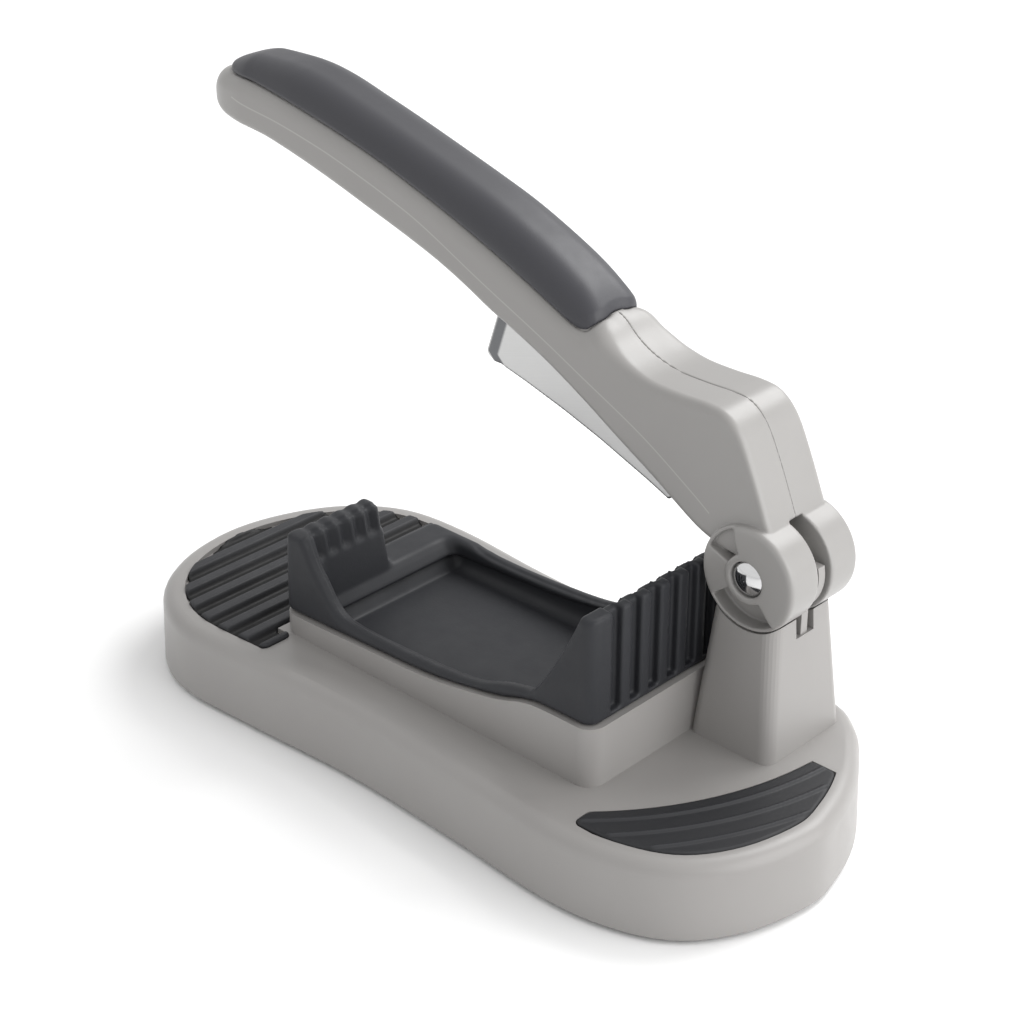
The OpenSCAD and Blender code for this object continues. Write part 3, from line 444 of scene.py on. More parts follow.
# %% Surface nets
def net_mesh(name, field, xs, ys, zs, shift=(0.0, 0.0, 0.0)):
    """A closed mesh of the field's zero surface on a grid of lines, moved by shift, all in mm."""
    axes = (np.asarray(xs, float), np.asarray(ys, float), np.asarray(zs, float))
    inside = field < 0
    n = np.array(field.shape) - 1
    filled = np.zeros(n, np.int8)
    for i, j, k in np.ndindex(2, 2, 2):
        filled += inside[i:n[0] + i, j:n[1] + j, k:n[2] + k]
    cells = np.argwhere((filled > 0) & (filled < 8))
    number = np.full(n, -1, np.int64)
    number[tuple(cells.T)] = np.arange(len(cells))
    total = np.zeros((len(cells), 3))
    count = np.zeros(len(cells))
    for a in range(3):
        b, c = (a + 1) % 3, (a + 2) % 3
        for du, dv in np.ndindex(2, 2):
            low = cells.copy()
            low[:, b] += du
            low[:, c] += dv
            high = low.copy()
            high[:, a] += 1
            f0, f1 = field[tuple(low.T)], field[tuple(high.T)]
            crossed = (f0 < 0) != (f1 < 0)
            t = np.where(crossed, f0 / np.where(crossed, f0 - f1, 1.0), 0.0)
            point = np.stack([axes[m][low[:, m]] for m in range(3)], axis=1)
            point[:, a] += t * (axes[a][high[:, a]] - axes[a][low[:, a]])
            total += point * crossed[:, None]
            count += crossed
    points = total / count[:, None]
    slopes = np.gradient(field, *axes)
    slope = np.stack([sample(g, axes, points) for g in slopes], axis=1)
    steep = np.maximum((slope ** 2).sum(axis=1), 0.05)
    pull = np.clip(sample(field, axes, points) / steep, -0.3, 0.3)
    points = points - slope * pull[:, None]
    slope = np.stack([sample(g, axes, points) for g in slopes], axis=1)
    normals = slope / np.maximum(np.linalg.norm(slope, axis=1), 1e-6)[:, None]
    quads = []
    for a in range(3):
        b, c = (a + 1) % 3, (a + 2) % 3
        first = [slice(None)] * 3
        last = [slice(None)] * 3
        first[a], last[a] = slice(None, -1), slice(1, None)
        low = np.argwhere(inside[tuple(first)] != inside[tuple(last)])
        ring = []
        for ob, oc in ((-1, -1), (0, -1), (0, 0), (-1, 0)):
            cell = low.copy()
            cell[:, b] += ob
            cell[:, c] += oc
            ring.append(number[tuple(cell.T)])
        quad = np.stack(ring, axis=1)
        outward = inside[tuple(low.T)]
        quads.append(np.where(outward[:, None], quad, quad[:, ::-1]))
    quads = np.concatenate(quads)
    mesh = bpy.data.meshes.new(name)
    mesh.from_pydata(((points + np.array(shift)) * MM).tolist(), [], quads.tolist())
    mesh.polygons.foreach_set("use_smooth", np.ones(len(quads), bool))
    mesh.normals_split_custom_set_from_vertices(normals.tolist())
    mesh.update()
    return mesh


test_ball = net_mesh("test_ball", ball, ball_lines, ball_lines, ball_lines)
print("the ball's mesh has", len(test_ball.polygons), "faces")
bpy.data.meshes.remove(test_ball)

# %% Pieces that stand for CAD nodes
def place_piece(name, mesh, finish, body, node):
    """Links a mesh as a piece that rides on a body and stands for a CAD node."""
    piece = bpy.data.objects.new(name, mesh)
    scene.collection.objects.link(piece)
    mesh.materials.append(finish)
    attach(piece, body)
    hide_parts(node)
    print(name, "has", len(mesh.polygons), "faces")


def fill(shape, xs, ys, zs, *rest):
    """The values of a field function on the grid of three sets of lines, shaped (x, y, z)."""
    return shape(xs[:, None, None], ys[None, :, None], zs[None, None, :], *rest)


print("pieces are linked, ride on a body and replace a node in one call")

# %% [markdown]
# ## The sizes that the soft parts share
# These repeat the CAD source's driving sizes in millimetres, so that the meshes sit where its solids do.
# The base's outline is the same closed curve through marks, given as shares of half its length and width.

# %% Shared sizes
PLINTH_START, PLINTH_END = -55.75, 86.25
PLINTH_HALF = 37.0
BASE_X, BASE_LENGTH, BASE_WIDTH = 11.0, 277.5, 122.0
BASE_END = BASE_X + BASE_LENGTH / 2
DECK = 28.0
PIN = (103.25, 30.0, 88.6)
rim_marks = np.array([
    (1, -0.11), (0.985, 0.15), (0.945, 0.41), (0.885, 0.64), (0.805, 0.86), (0.69, 0.985),
    (0.4, 0.97), (0.09, 0.925), (-0.215, 0.94), (-0.517, 0.99), (-0.726, 0.935), (-0.877, 0.69),
    (-0.967, 0.33), (-1, -0.065), (-0.964, -0.475), (-0.863, -0.8), (-0.69, -0.99), (-0.43, -0.98),
    (-0.092, -0.934), (0.254, -0.955), (0.564, -0.992), (0.744, -0.928), (0.874, -0.77), (0.96, -0.48)])


def closed_curve(marks, steps):
    """A smooth closed loop through marks: each piece leans on the marks before and after it."""
    u = (np.arange(steps) / steps)[None, :, None]
    p0, p1 = np.roll(marks, 1, axis=0)[:, None], marks[:, None]
    p2, p3 = np.roll(marks, -1, axis=0)[:, None], np.roll(marks, -2, axis=0)[:, None]
    loop = 0.5 * (2 * p1 + (p2 - p0) * u + (2 * p0 - 5 * p1 + 4 * p2 - p3) * u ** 2
                  + (3 * p1 - p0 - 3 * p2 + p3) * u ** 3)
    return loop.reshape(-1, 2)


base_outline = closed_curve(rim_marks * (BASE_LENGTH / 2, BASE_WIDTH / 2) + (BASE_X, 0), 5)
print("the base's outline has", len(base_outline), "points")

# %% [markdown]
# ## The soft tray
# One moulding of dark rubber. Its side view follows the plinth's back below and sweeps up at both ends
# above. The hollow is cut with a wide blend, which leaves the smooth rim. The hinge wall has deep upright
# grooves outside and shallow ones inside, offset by half a pitch, so that its top runs in a zigzag. The
# low tip wall is fluted inside and ends where the lever swings past. It could be sculpted from a
# subdivided box, but cuts in a field keep every groove alike and the corners soft.

# %% Tray lines
TRAY_START, TRAY_END, TRAY_HALF = -56.55, 85.05, 35.8
TIP_TOP, HINGE_TOP, RIM = 66.0, 86.5, 41.0
PLINTH_HIGH, PLINTH_LOW = 49.2, 35.4


def on_plinth(f):
    """The x that lies the share f along the plinth."""
    return PLINTH_START + f * (PLINTH_END - PLINTH_START)


def on_tray(f):
    """The x that lies the share f along the tray."""
    return TRAY_START + f * (TRAY_END - TRAY_START)


plinth_line = [
    (on_plinth(-0.03), PLINTH_LOW - 0.1), (on_plinth(0.1), PLINTH_LOW + 0.5),
    (on_plinth(0.33), PLINTH_LOW + 1.9), (on_plinth(0.48), PLINTH_LOW + 3),
    (on_plinth(0.577), PLINTH_LOW + 4.8), (on_plinth(0.725), PLINTH_HIGH - 4.8),
    (on_plinth(0.782), PLINTH_HIGH - 1.9), (on_plinth(0.831), PLINTH_HIGH - 0.4),
    (on_plinth(0.93), PLINTH_HIGH), (on_plinth(1.03), PLINTH_HIGH)]
tray_line = [
    (TRAY_START + 10.5, TIP_TOP), (TRAY_START + 12.8, TIP_TOP - 3.6), (TRAY_START + 15.8, TIP_TOP - 9.4),
    (TRAY_START + 19.6, TIP_TOP - 14.3), (TRAY_START + 23.5, RIM + 5.2), (TRAY_START + 28.4, RIM + 1.3),
    (on_tray(0.268), RIM), (on_tray(0.473), RIM + 0.8), (on_tray(0.636), RIM + 3.2),
    (TRAY_END - 38, PLINTH_HIGH - 0.3), (TRAY_END - 31, PLINTH_HIGH + 1.4),
    (TRAY_END - 26, PLINTH_HIGH + 2.8), (TRAY_END - 22, PLINTH_HIGH + 7.2),
    (TRAY_END - 14, PLINTH_HIGH + 20.5), (TRAY_END - 9.3, HINGE_TOP - 7.6), (TRAY_END - 5.8, HINGE_TOP)]


def tray_side(low_points, drop):
    """Outline of the tray seen from the side: underside from left to right, then the top line back."""
    x = np.linspace(TRAY_END - 5.8, TRAY_START + 10.5, 60)
    top = np.stack([x, smooth_line(x, tray_line) - drop], axis=1)
    left = [(TRAY_START + 3.2, TIP_TOP - drop), (TRAY_START + 2.8, TIP_TOP - 1 - drop)]
    right = [(TRAY_END, HINGE_TOP - 0.4 - drop), (TRAY_END - 0.4, HINGE_TOP - drop)]
    return np.concatenate([low_points, right, top, left])


xs_low = np.linspace(TRAY_START, TRAY_END, 40)
body_side = tray_side(np.stack([xs_low, smooth_line(xs_low, plinth_line) + 0.1], axis=1), 0.0)
lining_side = tray_side(np.array([(TRAY_START + 1, 30.7), (TRAY_END - 1, 30.7)]), 1.2)
hollow_side = [(-36.55, 33.5), (44.05, 33.5), (62.05, 45.2), (64.05, 52.2), (78.45, 91.5), (78.45, 120),
               (-50.55, 120), (-46.95, 70), (-44.55, 56), (-41.55, 41)]
print("the tray's side view has", len(body_side), "points")

# %% Tray
RIB_PITCH, RIM_WIDTH = 8.9, 5.5
TIP_WALL, FLUTE_PITCH, FLUTES = -40.0, 6.13, (-31.1, 2.6)
WAVE_DEPTH, FLUTE_DEPTH, FLUTE_FOOT = 0.8, 1.5, 55.5


def comb(y, centre, pitch, width, count):
    """Distance to the nearest of count stripes of that width, the first one round centre."""
    k = np.clip(np.round((y - centre) / pitch), 0, count - 1)
    return np.abs(y - centre - k * pitch) - width / 2


def tray_solid(x, y, z, ripple):
    """The body on the plinth, its tip wall's top lowered in waves, and its union with the lining."""
    body = smax(poly_gap(x, z, body_side) + 0.0 * y,
                rect_gap(x, y, TRAY_START, TRAY_END, -TRAY_HALF, TRAY_HALF, 4.8) + 0.0 * z, 2.4)
    wave = WAVE_DEPTH * ripple * (x < TIP_WALL)
    body = np.where(x < TIP_WALL, smax(body, z - TIP_TOP + wave, 1.6), body)
    pocket = rect_gap(x, y, PLINTH_START + 3.8, PLINTH_END - 3.8, -33.2, 33.2, 5.8)
    return body, np.minimum(body, np.maximum(poly_gap(x, z, lining_side), pocket))


def tray_hollow(x, y, z, ripple):
    """The space inside the tray: side view and plan with a wide blend, fluted high on the tip wall."""
    y_in = RIM_WIDTH - TRAY_HALF
    hollow = smax(poly_gap(x, z, hollow_side) + 0.0 * y,
                  rect_gap(x, y, -52.55, 85.05, y_in, -y_in, 8) + 0.0 * z, 5.0)
    high_on_wall = np.clip((TIP_WALL - x) / 2, 0, 1) * np.clip((z - FLUTE_FOOT) / 1.6, 0, 1)
    return hollow - FLUTE_DEPTH * ripple * high_on_wall


def tray_field(x, y, z):
    """Body and lining together, less the hollow, the stepped inner rim, the grooves and the flutes."""
    ripple = 0.5 - 0.5 * np.cos(2 * np.pi * (np.clip(y, *FLUTES) - FLUTES[0]) / FLUTE_PITCH)
    body, solid = tray_solid(x, y, z, ripple)
    hollow = tray_hollow(x, y, z, ripple)
    tray = smax(solid, -hollow, 1.8)
    tray = smax(tray, -np.maximum(hollow - 1.9, -(body + 0.65)), 0.5)
    lever_way = smax(smax(x + 26.5, 2.2 - y, 3.0), 42.5 - z, 3.0)
    tray = smax(tray, -lever_way, 3.0)
    grooves = comb(y, -23.45, RIB_PITCH, 4.3, 7)
    outside = smax(smax(grooves, TRAY_END - 3.4 - x, 0.8), PLINTH_HIGH + 2.0 - z, 0.8)
    tray = smax(tray, -outside, 1.0)
    inner = smax(comb(y, -19.0, RIB_PITCH, 3.4, 6), np.abs(x - (TRAY_END - 7.0)) - 2.6, 1.0)
    tray = smax(tray, -smax(inner, HINGE_TOP - 9.0 - z, 1.0), 0.8)
    steps = np.maximum(np.maximum(grooves, TRAY_END - 13.0 - x), HINGE_TOP - 1.2 - z)
    return smax(tray, -steps, 0.6)


xs, ys, zs = lines((-58, 86.6, 0.67)), lines((-37.2, 37.2, 0.67)), lines((29.6, 88, 0.67))
place_piece("tray_soft", net_mesh("tray_soft", fill(tray_field, xs, ys, zs), xs, ys, zs), tray_rubber,
            "base", "tray")

# %% [markdown]
# ## The pad at the tip end
# A thin rubber mat let into the deck. Flat slats with soft shoulders stand between wide dark grooves, and
# the mat's edge is drawn in a little at every groove, which gives the scalloped outline of the photo. A
# bump could fake the slats from above, but they show in profile at the mat's edge.

# %% Tip end pad
# The grooves' darkness is painted shade from the pads' finish.
SLAT_PITCH, SLAT_HALF, NOTCH = 10.0, 3.4, 1.9
SLAT_PHASE = 120.45
PAD_UNDERSIDE = 26.35


def slope_up(distance, reach):
    """A soft step: 0 at the edge, 1 once the distance inside is larger than reach."""
    t = np.clip(-distance / reach, 0.0, 1.0)
    return t * t * (3 - 2 * t)


def tip_pad_field(x, y, z):
    """Height above the deck from slats across X; plan from the base's outline, stopped at the plinth."""
    stripe = np.abs((x + SLAT_PHASE + SLAT_PITCH / 2) % SLAT_PITCH - SLAT_PITCH / 2) - SLAT_HALF
    notch = slope_up(-(stripe - 0.6), 1.8) * NOTCH
    edge = poly_gap(x, y, base_outline) + 9.0 + notch
    beside = rect_gap(x, np.abs(y), -81, PLINTH_START + 6, PLINTH_HALF + 1.5, 60, 2.0)
    plan = smax(edge, smin(x - PLINTH_START + 1.5 + 0.0 * y, beside, 1.0), 3.0)
    height = DECK - 1.25 + 2.5 * slope_up(stripe + 0.0 * plan, 1.9)
    return smax(smax(z - height, plan + 0.0 * z, 0.9), PAD_UNDERSIDE - z, 0.3)


xs, ys, zs = lines((-129, -48, 0.45)), lines((-56, 56, 0.6)), lines((25.6, 30.2, 0.35))
values = even(fill(tip_pad_field, xs, ys, zs), xs, ys, zs)
place_piece("tip_pad_soft", net_mesh("tip_pad_soft", values, xs, ys, zs), pad_rubber,
            "base", "tip_end_pad")

# %% [markdown]
# ## The crescent pad at the hinge end
# Its inner edge is an arc round a point on the deck and its outer edge follows the rim, so it is the
# base's outline drawn in, less a circle. Three thin raised lines run along the arc.

# %% Hinge end pad
ARC = (BASE_END - 136.0, 35.4, 112.5)


def hinge_pad_field(x, y, z):
    """A low slab with three raised lines at fixed distances from the inner arc."""
    far = np.hypot(x - ARC[0], y - ARC[1]) - ARC[2]
    border = rect_gap(x, y, BASE_END - 57, 200, -52.2, 23.5, 3)
    plan = smax(smax(poly_gap(x, y, base_outline) + 7.4, border, 2.0), -far, 1.5)
    ridge = np.maximum(comb(far, 5.1, 7.4, 1.5, 3), plan + 0.7)
    height = DECK + 0.45 + 0.75 * slope_up(ridge, 0.6)
    return smax(smax(z - height, plan + 0.0 * z, 0.9), PAD_UNDERSIDE - z, 0.3)


xs, ys, zs = lines((91, 151, 0.5)), lines((-54, 25, 0.5)), lines((25.6, 30.2, 0.35))
values = even(fill(hinge_pad_field, xs, ys, zs), xs, ys, zs)
place_piece("hinge_pad_soft", net_mesh("hinge_pad_soft", values, xs, ys, zs), pad_rubber,
            "base", "hinge_end_pad")

# %% [markdown]
# ## The handle's two halves
# The handle is described in its own plane from the pin: a crown line, a bottom line, the radius of the top
# shoulders and the half width, each a smooth line through marks of (x, size) in mm. The grip's edge has
# marks too: its plan from above and its lower edge on the shoulder. A loft between drawn sections could
# make the neck, but four lines are easier to match to a photo than twenty sections.

# %% Handle lines
crown_line = [
    (-253, 98), (-250.6, 103.6), (-246, 108.1), (-239, 111.6), (-231, 113.9), (-227, 114.2), (-218, 114.4),
    (-212, 114.4), (-204, 113.8), (-194, 112), (-181, 108.6), (-167, 104.9), (-147, 99.2), (-126, 93),
    (-112, 88.5), (-99, 83.3), (-85, 76.8), (-74, 70.2), (-65, 62.8), (-59, 57.5), (-53, 54.1), (-46, 51.9),
    (-40, 51), (-30, 50.8), (-20, 51), (-13, 49.6), (-7, 44), (-1, 32.2), (4.6, 19), (6, 15.6)]
bottom_line = [
    (-253, 95.6), (-250.6, 93.6), (-245, 92), (-236, 90.8), (-224, 89.6), (-217, 88.6), (-200, 84.8),
    (-183, 80.3), (-167, 75.6), (-151, 70.9), (-136, 66), (-124, 61.2), (-110, 54.7), (-103, 52), (-86, 44.5),
    (-71, 36.6), (-56, 27.9), (-40, 18.8), (-33, 14.5), (-23, 8.6), (-17, 6.2), (-10, 4.6), (6, 3.6)]
corner_line = [(-253, 2), (-250, 5.6), (-243, 8.8), (-235, 10.3), (-78, 10.3), (-72, 9.6), (-67, 8),
               (-62, 6), (-56, 4.2), (-48, 3.1), (-40, 2.8), (6, 2.6)]
width_line = [(-253, 3), (-251.5, 6.8), (-247, 10.2), (-240, 12.6), (-230, 13.8), (-60, 13.8), (6, 13.8)]
grip_marks = [(-244.5, 0.5), (-244, 4.4), (-242.7, 8), (-240.2, 11.5), (-236, 15), (-229, 19.5), (-222, 22),
              (-80, 22), (-75.4, 17.6), (-72, 14.4), (-69.6, 12), (-68.3, 9.6), (-67.8, 7.2), (-67.9, 4.8),
              (-68.4, 2.6), (-68.6, 0.5)]
grip_low = [(-254, 105.5), (-240, 107.6), (-233, 108.2), (-227, 108), (-221, 107.2), (-214, 106),
            (-200, 103.3), (-186, 100.2), (-172.4, 96.9), (-159, 93.2), (-146, 89), (-133, 84.7),
            (-120.6, 80.1), (-108, 75.2), (-96, 70.1), (-84, 64.7), (-72, 59.2), (-60, 54)]
grip_plan = np.array([(x, -y) for x, y in grip_marks] + grip_marks[::-1])
print("the handle reaches", -crown_line[0][0], "mm from the pin")

# %% Shoulders and the grip's edge
GRIP_ANGLE = math.radians(20)


def shoulder(x, y, z, wider=0.0):
    """Distance to the handle's rounded top, and to the grip's edge on it: plan and slant, corners rounded."""
    w = smooth_line(x, width_line) + wider * np.clip((x + 68) / 12, 0.0, 1.0)
    r = np.minimum(smooth_line(x, corner_line), 0.97 * w)
    qy, qz = np.abs(y) - (w - r), z - (smooth_line(x, crown_line) - r)
    top = np.hypot(np.maximum(qy, 0), np.maximum(qz, 0)) + np.minimum(np.maximum(qy, qz), 0) - r
    slant = math.sin(GRIP_ANGLE) * (np.abs(y) - w) - math.cos(GRIP_ANGLE) * (z - smooth_line(x, grip_low))
    return top, smax(slant, poly_gap(x, y, grip_plan) + 0.0 * z, 6.0)


def waist(edge, deep):
    """How far the surface is drawn in at the grip's edge: deep on it, none 9 mm inside or 6 mm outside."""
    t = np.clip(np.where(edge < 0, edge / -9.0, edge / 6.0), 0.0, 1.0)
    return deep * (1 - t) ** 2


print("2 mm inside the grip's edge the waist is", round(float(waist(-2.0, 2.0)), 2), "mm deep")

# %% [markdown]
# The ears are turned parts joined to the neck with a small fillet, then the slot, the lower face, the
# cored pockets and the pin's recess are cut. The seam between the halves stays open by a hair, with
# softly rounded lips, and the mould's parting runs along the flat sides as a pale hairline, a painted
# highlight of the parting's ridge. That line has no depth to speak of, so it is an attribute for the
# material and not a groove.

# %% Handle halves
EAR, EARS_HALF, SLOT_HALF = 17.6, 16.75, 3.3
HUB, PIN_RECESS = 8.3, 6.0
STEP_DEEP, POCKET_DEEP, RECESS_DEEP = 1.0, 6.4, 5.0
WAIST, GRIP_BED, NECK_WIDER = 2.0, 2.4, 1.5
SEAM, LIP = 0.005, 0.06
ear_step = [(-6.4, 26), (-5.2, 7.2), (0, 0), (3.2, -6.4), (6.8, -9.2), (10.4, -12.8), (19, -24),
            (-26, -26), (-26, 26)]
cored_pockets = ((114, 158), (217, 308))


def sector(x, z, r0, r1, a0, a1):
    """Distance to a ring piece between two radii and two angles in degrees, in the plane of the lever."""
    rho = np.hypot(x, z)
    a0, a1 = math.radians(a0), math.radians(a1)
    above = x * math.sin(a0) - z * math.cos(a0)
    below = -x * math.sin(a1) + z * math.cos(a1)
    return np.maximum(np.maximum(r0 - rho, rho - r1), np.maximum(above, below))


def handle_field(x, y, z, xs, ys, zs, wider):
    """One half, y counted from the seam outwards: body, ear, then the cuts. The neck may be a bit wider."""
    top, grip_edge = shoulder(x, y, z, wider)
    body = smax(top + waist(grip_edge, WAIST), smooth_line(x, bottom_line) - z + 0.0 * y, 3.0)
    body = even(np.maximum(np.maximum(body, -252.9 - x), x - 6.0), xs, ys, zs)
    body = smax(body, -np.maximum(-(even(top, xs, ys, zs) + GRIP_BED), grip_edge - 0.25), 0.3)
    rho = np.hypot(x, z) + 0.0 * y
    ear = smax(rho - EAR, y - EARS_HALF + 0.0 * rho, 1.8)
    lower = smax(np.maximum(poly_gap(x, z, ear_step), HUB - rho), EARS_HALF - STEP_DEEP - y, 0.5)
    ear = smax(ear, -lower, 0.9)
    for start, stop in cored_pockets:
        cored = sector(x, z, HUB, EAR - 1.3, start, stop) + 0.0 * y
        ear = smax(ear, -np.maximum(cored, EARS_HALF - POCKET_DEEP - y), 0.5)
    ear = smax(ear, -np.maximum(rho - PIN_RECESS, EARS_HALF - RECESS_DEEP - y), 0.4)
    half = smin(body, ear, 0.3)
    half = smax(half, -np.maximum(rho - EAR - 0.2, y - SLOT_HALF), 0.5)
    return smax(half, SEAM - y + 0.0 * half, LIP)


xs = lines((-254.2, -226, 0.7), (-226, -84, 1.2), (-84, -58, 0.5), (-58, -22, 0.8), (-22, 18.8, 0.55))
ys = lines((-0.08, 0.16, 0.04), (0.16, 0.4, 0.08), (0.4, 1.2, 0.2), (1.2, 11.1, 0.7), (11.1, 18, 0.36))
zs = lines((-18.8, 20, 0.55), (20, 58, 0.8), (58, 115.6, 0.8))
parting_marks = [(-256, 103.5), (-242.2, 101.4), (-230, 98.6), (-210.8, 96), (-188.7, 91.6), (-174.5, 87.9),
                 (-160.2, 83.7), (-142.4, 77.6), (-115, 65), (-88.2, 53.2), (-70.6, 44.9), (-44.9, 32.6),
                 (-23.9, 20), (-14.1, 13.5), (0, 5)]
FAR_FROM_LINE = 50.0


def from_pin(mesh):
    """The places of a mesh's points in mm, measured from the hinge pin."""
    p = np.empty(len(mesh.vertices) * 3)
    mesh.vertices.foreach_get("co", p)
    return p.reshape(-1, 3) / MM - PIN


def mark(mesh, name, values):
    """Stores one number a point under a name that a material can read."""
    mesh.attributes.new(name, "FLOAT", "POINT").data.foreach_set("value", values)
    return mesh


def mark_parting_highlight(mesh):
    """Each point's height in mm above the mould's parting line on the flat sides, a large one elsewhere."""
    x, y, z = from_pin(mesh).T
    away = z - smooth_line(x, parting_marks)
    away[(np.abs(y) < 12.9) | (np.abs(y) > 14.5) | (x > -17) | (x < -236)] = FAR_FROM_LINE
    return mark(mesh, "parting", away)


half = fill(handle_field, xs, ys, zs, xs, ys, zs, NECK_WIDER)
place_piece("handle_far_skin", mark_parting_highlight(net_mesh("handle_far_skin", half, xs, ys, zs, PIN)),
            handle_plastic, "lever", "handle_far_half")
half = np.ascontiguousarray(fill(handle_field, xs, ys, zs, xs, ys, zs, 0.0)[:, ::-1, :])
place_piece("handle_near_skin", mark_parting_highlight(net_mesh("handle_near_skin", half, xs, -ys[::-1], zs, PIN)),
            handle_plastic, "lever", "handle_near_half")

# %% [markdown]
# ## The soft grip
# A blanket of rubber over the handle's shoulders, half a millimetre proud. It is the band between two
# offsets of the shoulder surface, cut by its plan and by a slanted line low on both shoulders. A thickened
# copy of the handle's faces would do as well, but its border would follow the handle's facets.

# %% Grip
LIFT, SUNK = 0.5, 2.3


def grip_field(x, y, z, xs, ys, zs):
    """The band between two offsets of the shoulder surface, bevelled along its whole edge."""
    top, edge = shoulder(x, y, z)
    top = even(top, xs, ys, zs)
    outside = top + waist(edge, 0.7) - LIFT
    bevel = 0.8 * outside + 0.6 * (edge + 1.1)
    band = np.maximum(smax(outside, bevel, 0.2), -(top + SUNK))
    return smax(band, edge, 0.7)


xs = lines((-246, -226, 0.5), (-226, -84, 1.0), (-84, -64, 0.4))
ys, zs = lines((-15.2, -8, 0.4), (-8, 8, 0.8), (8, 15.2, 0.4)), lines((50, 116, 0.55))
values = fill(grip_field, xs, ys, zs, xs, ys, zs)
place_piece("grip_soft", net_mesh("grip_soft", values, xs, ys, zs, PIN), grip_rubber,
            "lever", "soft_grip")

# %% [markdown]
# ## The blade
# A flat plate of stainless steel between the halves. Its free end is ground thin over the last few
# millimetres, and all other edges are only broken. The ground band and the broken rim are painted darker,
# a painted reflection of their tilted faces, so the mesh carries an attribute that tells the material
# where it is.

# %% Blade outline
REACH = 125.0
HALF_EDGE, HALF_BLADE, TAPER = 0.28, 0.97, 0.115
blade_end = 3.5 - REACH
heel = -44.0
blade_low = [(blade_end + f * (heel - blade_end), z) for f, z in
             ((0, 30), (0.045, 30.4), (0.2, 27.4), (0.41, 22.8), (0.62, 17.5), (0.89, 9.6), (1, 6))]
root_x = np.linspace(heel + 6, 12 - REACH, 12)
root = np.stack([root_x, smooth_line(root_x, bottom_line) + 7.0], axis=1)
blade_plan = np.concatenate([blade_low, [(heel + 6, 10.5), (heel + 8, 16)], root,
                             [(9 - REACH, 62.5), (5.1 - REACH, 48), (0.1 - REACH, 33.4), (0.5 - REACH, 32)]])
print("the blade's lower edge spans", heel - blade_end, "mm")

# %% Blade
def behind_end(x, z):
    """How far a point lies behind the slanted free end, in mm along X."""
    return x - np.interp(z, (30, 33.4, 48, 63), (blade_end, 0.1 - REACH, 5.1 - REACH, 9.2 - REACH))


def blade_field(x, y, z):
    """The plan cut from a plate whose half thickness falls from 1 mm to 0.3 mm towards the free end."""
    thick = np.clip(HALF_EDGE + TAPER * behind_end(x, z), HALF_EDGE, HALF_BLADE)
    return smax(poly_gap(x, z, blade_plan) + 0.0 * y, np.abs(y) - thick, 0.3)


def mark_ground_painted_dark(mesh):
    """1 on the ground band behind the free end and along the thin broken rim, 0 on the brushed faces."""
    # These bands are painted darker in the steel's finish, a painted reflection of their tilted faces.
    x, y, z = from_pin(mesh).T
    run, rim = behind_end(x, z), -poly_gap(x, z, blade_plan)
    cut = np.clip((run - 0.5) / 0.4, 0, 1) * np.clip((6.0 - run) / 0.7, 0, 1)
    return mark(mesh, "ground", np.maximum(cut, np.clip((0.7 - rim) / 0.4, 0, 1) * (run > 5.6)))


xs, ys, zs = lines((-126, -34, 0.5)), lines((-1.5, 1.5, 0.25)), lines((4.4, 64, 0.5))
plate = net_mesh("blade_plate", fill(blade_field, xs, ys, zs), xs, ys, zs, PIN)
place_piece("blade_plate", mark_ground_painted_dark(plate), blade_steel, "lever", "blade")

# %% [markdown]
# ## The rubber feet
# Turned discs of dull black rubber: a profile from the axis below to the axis above, spun round, with both
# poles closed. The Spin tool or a Screw modifier makes the same, but leaves the poles to be merged.

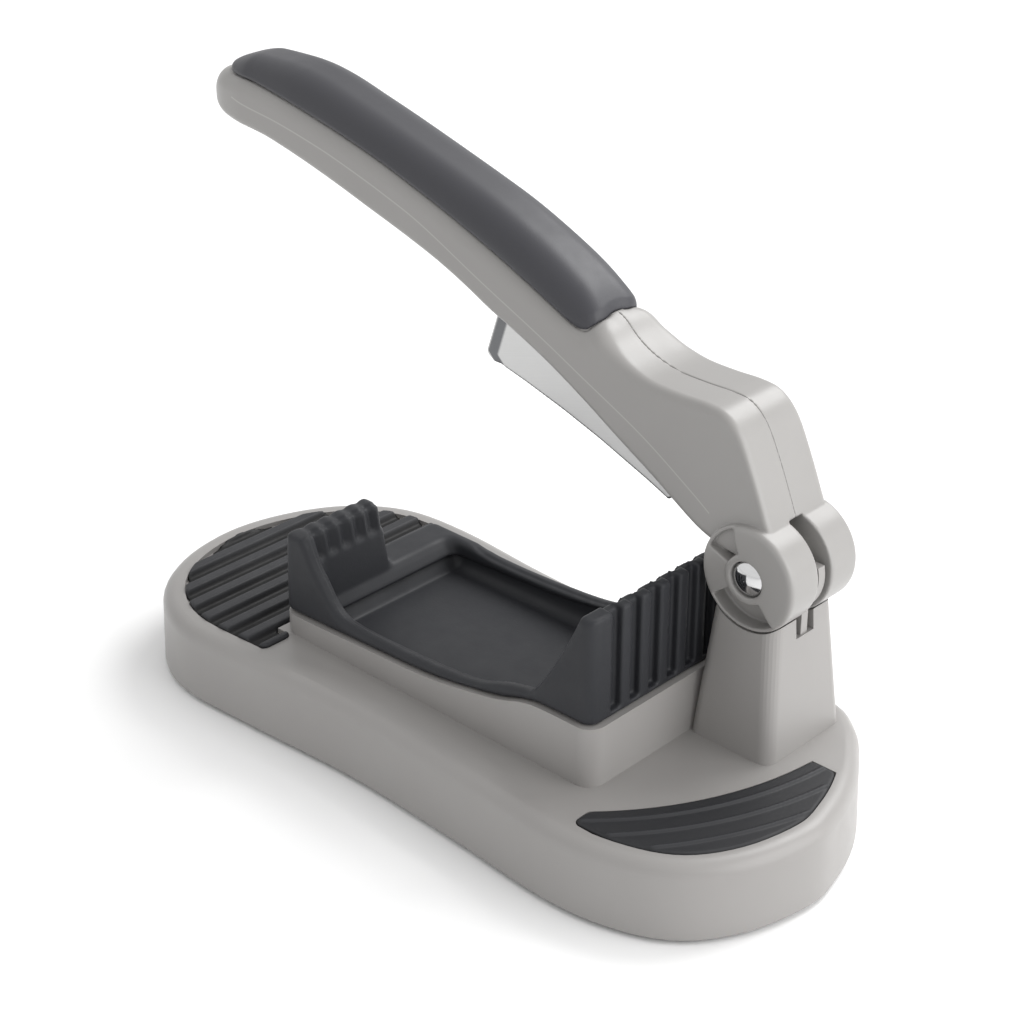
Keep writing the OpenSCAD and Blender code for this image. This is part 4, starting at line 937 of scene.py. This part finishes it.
# %% Feet
def lathe(name, profile, centre, count=48):
    """Spins a profile of (radius, height) points round an upright axis; its first and last lie on it."""
    body = np.array(profile[1:-1], float)
    a = 2 * np.pi * np.arange(count) / count
    ring = np.stack([np.cos(a), np.sin(a)], axis=1)
    heights = np.repeat(body[:, None, 1:], count, axis=1)
    rows = np.concatenate([body[:, None, :1] * ring[None], heights], axis=2)
    poles = np.array([(0, 0, profile[0][1]), (0, 0, profile[-1][1])], float)
    points = np.concatenate([rows.reshape(-1, 3), poles]) + (centre[0], centre[1], 0.0)
    i = np.arange(count)
    j = (i + 1) % count
    walls = [np.stack([r * count + i, r * count + j, (r + 1) * count + j, (r + 1) * count + i], axis=1)
             for r in range(len(body) - 1)]
    last, low, high = (len(body) - 1) * count, len(body) * count, len(body) * count + 1
    faces = np.concatenate(walls).tolist()
    faces += np.stack([j, i, np.full(count, low)], axis=1).tolist()
    faces += np.stack([last + i, last + j, np.full(count, high)], axis=1).tolist()
    mesh = bpy.data.meshes.new(name)
    mesh.from_pydata((points * MM).tolist(), [], faces)
    mesh.polygons.foreach_set("use_smooth", np.ones(len(faces), bool))
    mesh.update()
    return mesh


foot_profile = [(0, 0), (5.6, 0), (6.15, 0.06), (6.5, 0.3), (6.86, 0.7), (6.95, 1.0), (6.95, 2.3),
                (6.9, 2.4), (0, 2.4)]
spots = [(BASE_X + i * BASE_LENGTH / 2, j * BASE_WIDTH / 2) for i, j in
         ((-0.72, -0.5), (-0.72, 0.5), (0.72, -0.5), (0.72, 0.5))]
for number, spot in enumerate(spots, start=1):
    name = "foot_soft_%d" % number
    place_piece(name, lathe(name, foot_profile, spot), foot_rubber, "base", "foot_%d" % number)

# %% [markdown]
# ## Paper floor
# A pale floor of plain matt paper catches the soft contact shadow. It is stage, not object.

# %% Floor and finish
def add_floor(half):
    """A square sheet at height zero, half a side long each way, in metres."""
    mesh = bpy.data.meshes.new("floor")
    corners = [(-half, -half, 0), (half, -half, 0), (half, half, 0), (-half, half, 0)]
    mesh.from_pydata(corners, [], [(0, 1, 2, 3)])
    sheet = bpy.data.objects.new("floor", mesh)
    scene.collection.objects.link(sheet)
    paper, _, surface = new_material("paper")
    surface.inputs["Base Color"].default_value = linear("#ffffff")
    surface.inputs["Roughness"].default_value = 0.9
    mesh.materials.append(paper)
    return sheet


FLOOR_HALF = 3.0
add_floor(FLOOR_HALF)
